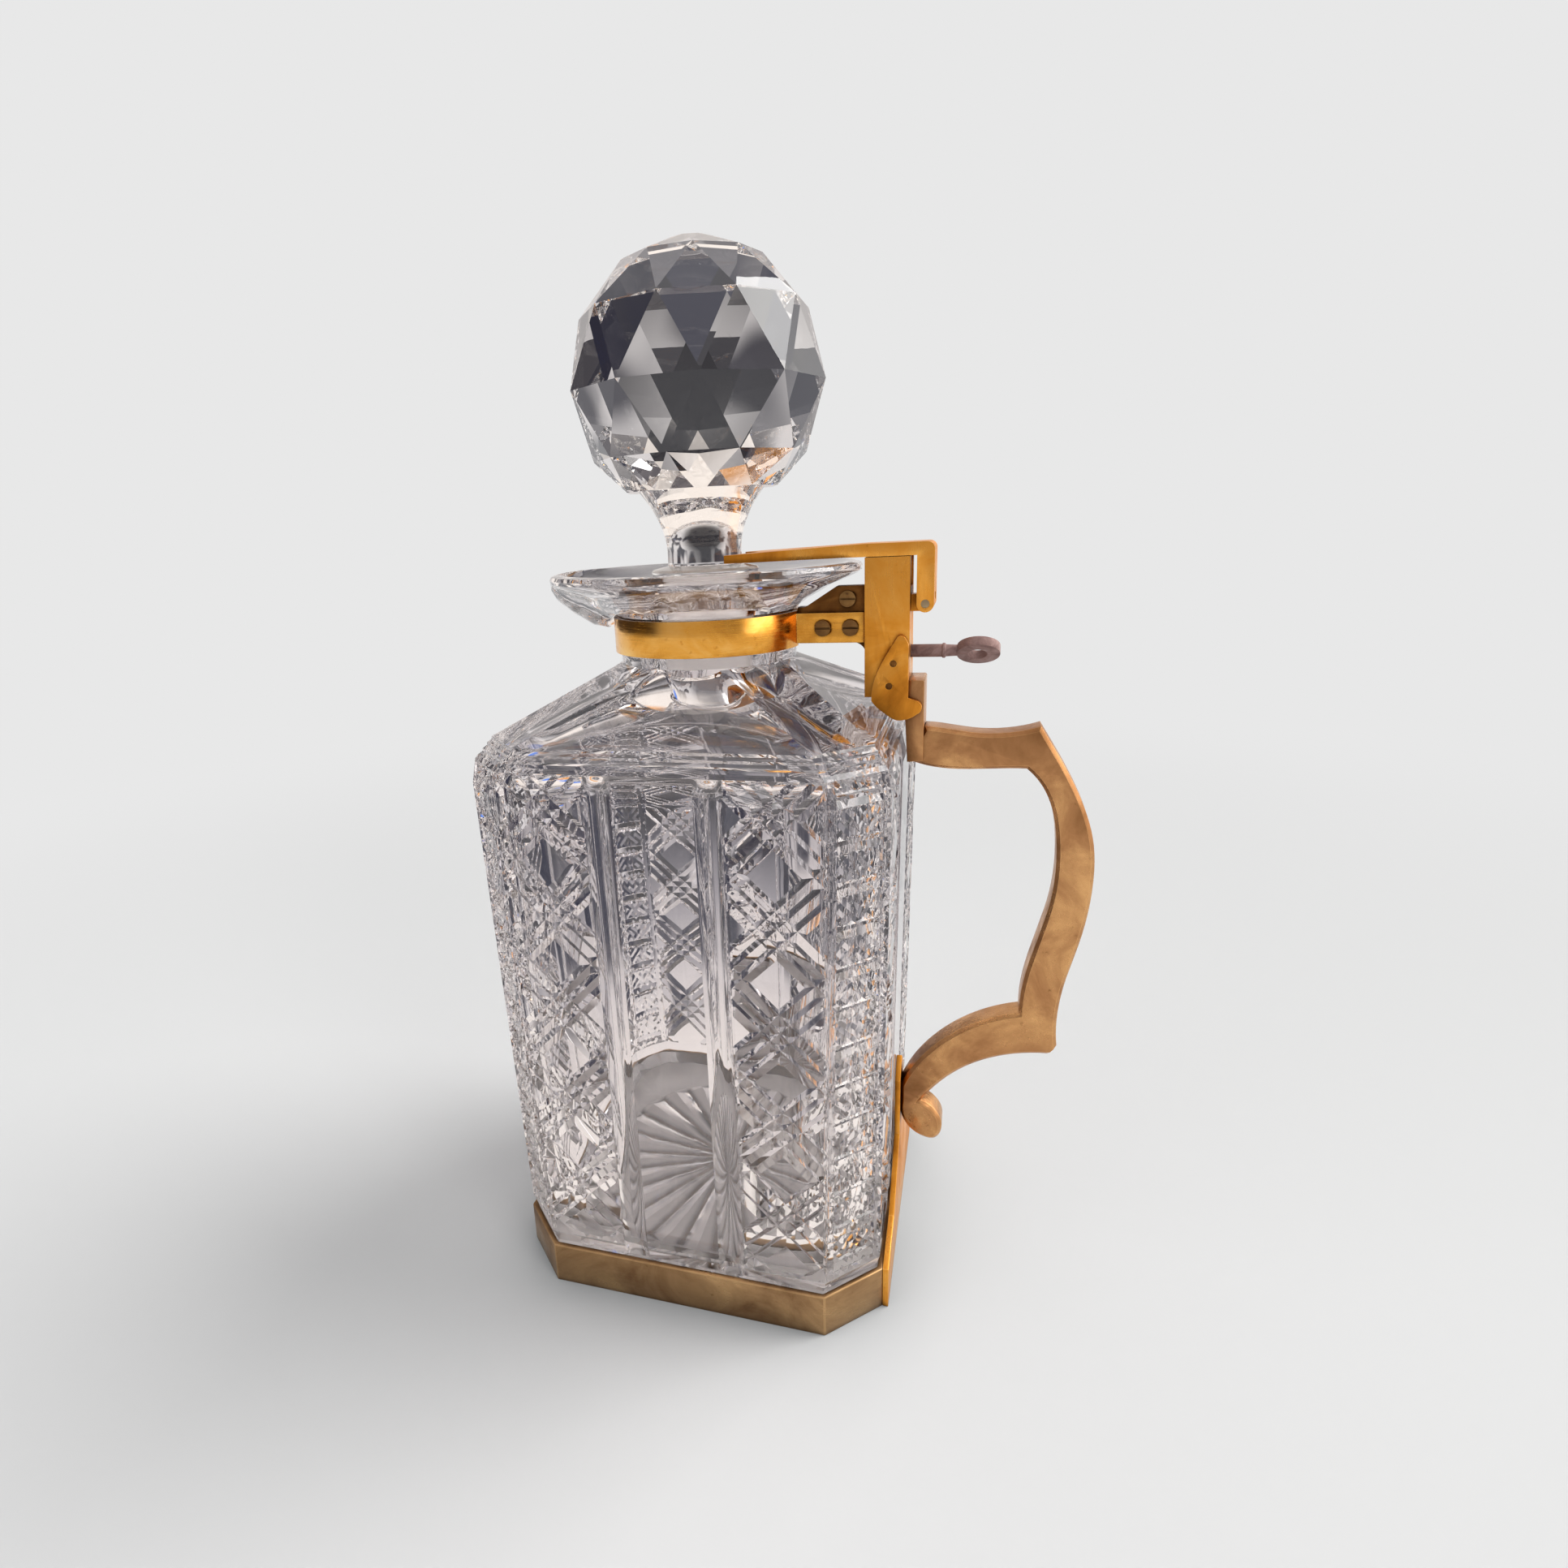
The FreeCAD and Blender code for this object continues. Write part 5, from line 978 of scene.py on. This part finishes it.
# Painted dark patches in the floor's glow round the bottle, from a distance on, for its flutes and cuts to
# show.
PAINTED_FLOOR_DARKS = {
    "dark right": (76.0, 0.0, 10.0, 16.0, (0.02, 0.02, 0.035)),
    "dark left": (144.0, 0.0, 14.0, 19.0, (0.008, 0.01, 0.035)),
    "dark middle": (106.0, 0.0, 2.0, 4.0, (0.06, 0.06, 0.08)),
    "dark front": (-74.0, 0.0, 50.0, 85.0, (0.1, 0.09, 0.1)),
}
FLOOR_SHAPE_START = (0.13, 0.17)
METAL_ROOM = (0.3, 0.28, 0.27)
METAL_SHAPES = {
    "front": (-92.0, -6.0, 20.0, 60.0, (0.56, 0.54, 0.53)),
    "right": (14.0, -4.0, 30.0, 52.0, (2.4, 2.35, 2.2)),
    "left": (178.0, 0.0, 30.0, 55.0, (0.06, 0.05, 0.05)),
    "behind": (106.0, 12.0, 25.0, 45.0, (0.8, 0.76, 0.74)),
    "ceiling": (0.0, 90.0, 20.0, 60.0, (0.85, 0.84, 0.84)),
    "window": (-38.0, 36.0, 8.0, 13.0, (3.0, 2.95, 2.8)),
}

# Lamps: kind, place, strength, angle or two sides, colour, and whether gloss shows them.
LAMPS = {
    "key_light": ("SUN", (0.85, 0.5, 1.15), 2.1, math.radians(40), (1.0, 0.99, 0.97), True),
    "window_light": ("AREA", (0.62, -0.52, 0.52), 1.3, (0.28, 0.42), (1.0, 0.99, 0.97), False),
    "fill_light": ("AREA", (-0.7, -0.6, 0.5), 0.6, (0.5, 0.5), (0.95, 0.97, 1.0), False),
}
LAMP_AIM = Vector((0.0, 0.0, 0.12))
MAX_BOUNCES = 32


def room_colour(tree, direction, base, shapes):
    """A room's colour in a direction, from soft round shapes laid over a plain tone."""
    colour = base
    for azimuth, elevation, inner, outer, shade in shapes.values():
        a, e = math.radians(azimuth), math.radians(elevation)
        axis = (math.cos(e) * math.cos(a), math.cos(e) * math.sin(a), math.sin(e))
        product = add(tree, "VectorMath", {0: direction, 1: axis}, operation="DOT_PRODUCT")
        facing = product.outputs["Value"]
        factor = grey_ramp(tree, facing, math.cos(math.radians(outer)), math.cos(math.radians(inner)))
        colour = blend_colour(tree, factor, colour, shade)
    return colour


def cluttered(tree, direction):
    """Light and dark places of the room that the glass shows."""
    dark, light = GLASS_ROOM
    clutter = grey_ramp(tree, noise(tree, direction, *CLUTTER), *CLUTTER_EDGES)
    return blend_colour(tree, clutter, dark, light)


def clear_view(tree, rays):
    """One where a ray has come through glass without meeting a matt surface, otherwise zero."""
    no_matt = math_node(tree, "LESS_THAN", rays["Diffuse Depth"], ANY_BOUNCE)
    return math_node(tree, "MULTIPLY", rays["Is Transmission Ray"], no_matt)


def make_world():
    """Plain background for the camera, and one room for metal, one for glass and plain light for the rest."""
    world = bpy.data.worlds.new("studio")
    bpy.context.scene.world = world
    world.use_nodes = True
    world.cycles.sampling_method = "NONE"
    tree = world.node_tree
    direction = add(tree, "TexCoord").outputs["Generated"]
    rays = add(tree, "LightPath").outputs
    colour = blend_colour(tree, clear_view(tree, rays),
                          room_colour(tree, direction, METAL_ROOM, METAL_SHAPES),
                          room_colour(tree, direction, cluttered(tree, direction), GLASS_SHAPES))
    matt = math_node(tree, "GREATER_THAN", rays["Diffuse Depth"], ANY_BOUNCE)
    inside = math_node(tree, "GREATER_THAN", rays["Transmission Depth"], ANY_BOUNCE)
    colour = blend_colour(tree, matt, colour, blend_colour(tree, inside, AMBIENT, LIGHT_IN_GLASS))
    colour = blend_colour(tree, rays["Is Camera Ray"], colour, BACKGROUND)
    tree.links.new(colour, tree.nodes["Background"].inputs["Color"])


def make_floor():
    """Pale floor that keeps the shadow and fades into the background, and that shows the glass a painted
    glow, light near the bottle and dark further out.
    """
    mesh = bmesh.new()
    bmesh.ops.create_grid(mesh, x_segments=1, y_segments=1, size=FLOOR_HALF)
    data = bpy.data.meshes.new("floor")
    mesh.to_mesh(data)
    floor = bpy.data.objects.new("floor", data)
    bpy.context.scene.collection.objects.link(floor)
    floor.location.z = -FLOOR_DROP
    material, tree, shader = new_material("pale_floor")
    shader.inputs["Base Color"].default_value = (*FLOOR_COLOUR, 1.0)
    shader.inputs["Roughness"].default_value = FLOOR_ROUGHNESS
    shader.inputs["Specular IOR Level"].default_value = FLOOR_SPECULAR
    glow = add(tree, "Emission", {"Color": (*BACKGROUND, 1.0), "Strength": 1.0})
    place = add(tree, "TexCoord").outputs["Object"]
    distance = add(tree, "VectorMath", {0: place}, operation="LENGTH").outputs["Value"]
    fade = grey_ramp(tree, distance, *FLOOR_FADE)
    rays = add(tree, "LightPath").outputs
    seen = math_node(tree, "MAXIMUM", rays["Is Camera Ray"], rays["Is Glossy Ray"])
    faded = math_node(tree, "MULTIPLY", fade, seen)
    mixed = add(tree, "MixShader", {0: faded, 1: shader.outputs["BSDF"], 2: glow.outputs["Emission"]})
    # What the glass sees of the floor is an emission: painted light near the axis fading to dark, with
    # painted dark patches further out.
    along = math_node(tree, "DIVIDE", distance, GLASS_FLOOR_REACH)
    near = ramp(tree, along, [(far / GLASS_FLOOR_REACH, colour) for far, colour in GLASS_FLOOR_GLOW])
    direction = add(tree, "VectorMath", {0: place}, operation="NORMALIZE").outputs["Vector"]
    shaped = room_colour(tree, direction, near, PAINTED_FLOOR_DARKS)
    glow_colour = blend_colour(tree, grey_ramp(tree, distance, *FLOOR_SHAPE_START), near, shaped)
    through = add(tree, "Emission", {"Color": glow_colour})
    mixed = add(tree, "MixShader", {0: clear_view(tree, rays), 1: mixed.outputs["Shader"],
                                    2: through.outputs["Emission"]})
    tree.links.new(mixed.outputs["Shader"], tree.nodes["Material Output"].inputs["Surface"])
    data.materials.append(material)


def make_lamp(name, kind, place, energy, size, colour, shows):
    data = bpy.data.lights.new(name, kind)
    data.energy = energy
    data.color = colour
    if kind == "SUN":
        data.angle = size
    else:
        data.shape = "RECTANGLE"
        data.size, data.size_y = size
    lamp = bpy.data.objects.new(name, data)
    bpy.context.scene.collection.objects.link(lamp)
    lamp.location = place
    lamp.visible_transmission = False
    lamp.visible_glossy = shows
    lamp.rotation_euler = (LAMP_AIM - lamp.location).to_track_quat("-Z", "Y").to_euler()


def set_light_paths():
    """Enough bounces for the cut glass, without light thrown by the metal's gloss."""
    cycles = bpy.context.scene.cycles
    cycles.max_bounces = MAX_BOUNCES
    cycles.transmission_bounces = MAX_BOUNCES
    cycles.glossy_bounces = MAX_BOUNCES
    cycles.caustics_reflective = False


make_camera()
MATERIALS = make_materials()
make_bottle(MATERIALS["cut_glass"])
make_stopper(MATERIALS["stopper_glass"])
dress_metal(MATERIALS)
make_world()
make_floor()
for lamp_name, lamp_values in LAMPS.items():
    make_lamp(lamp_name, *lamp_values)
set_light_paths()
bpy.context.scene.view_settings.view_transform = "Standard"
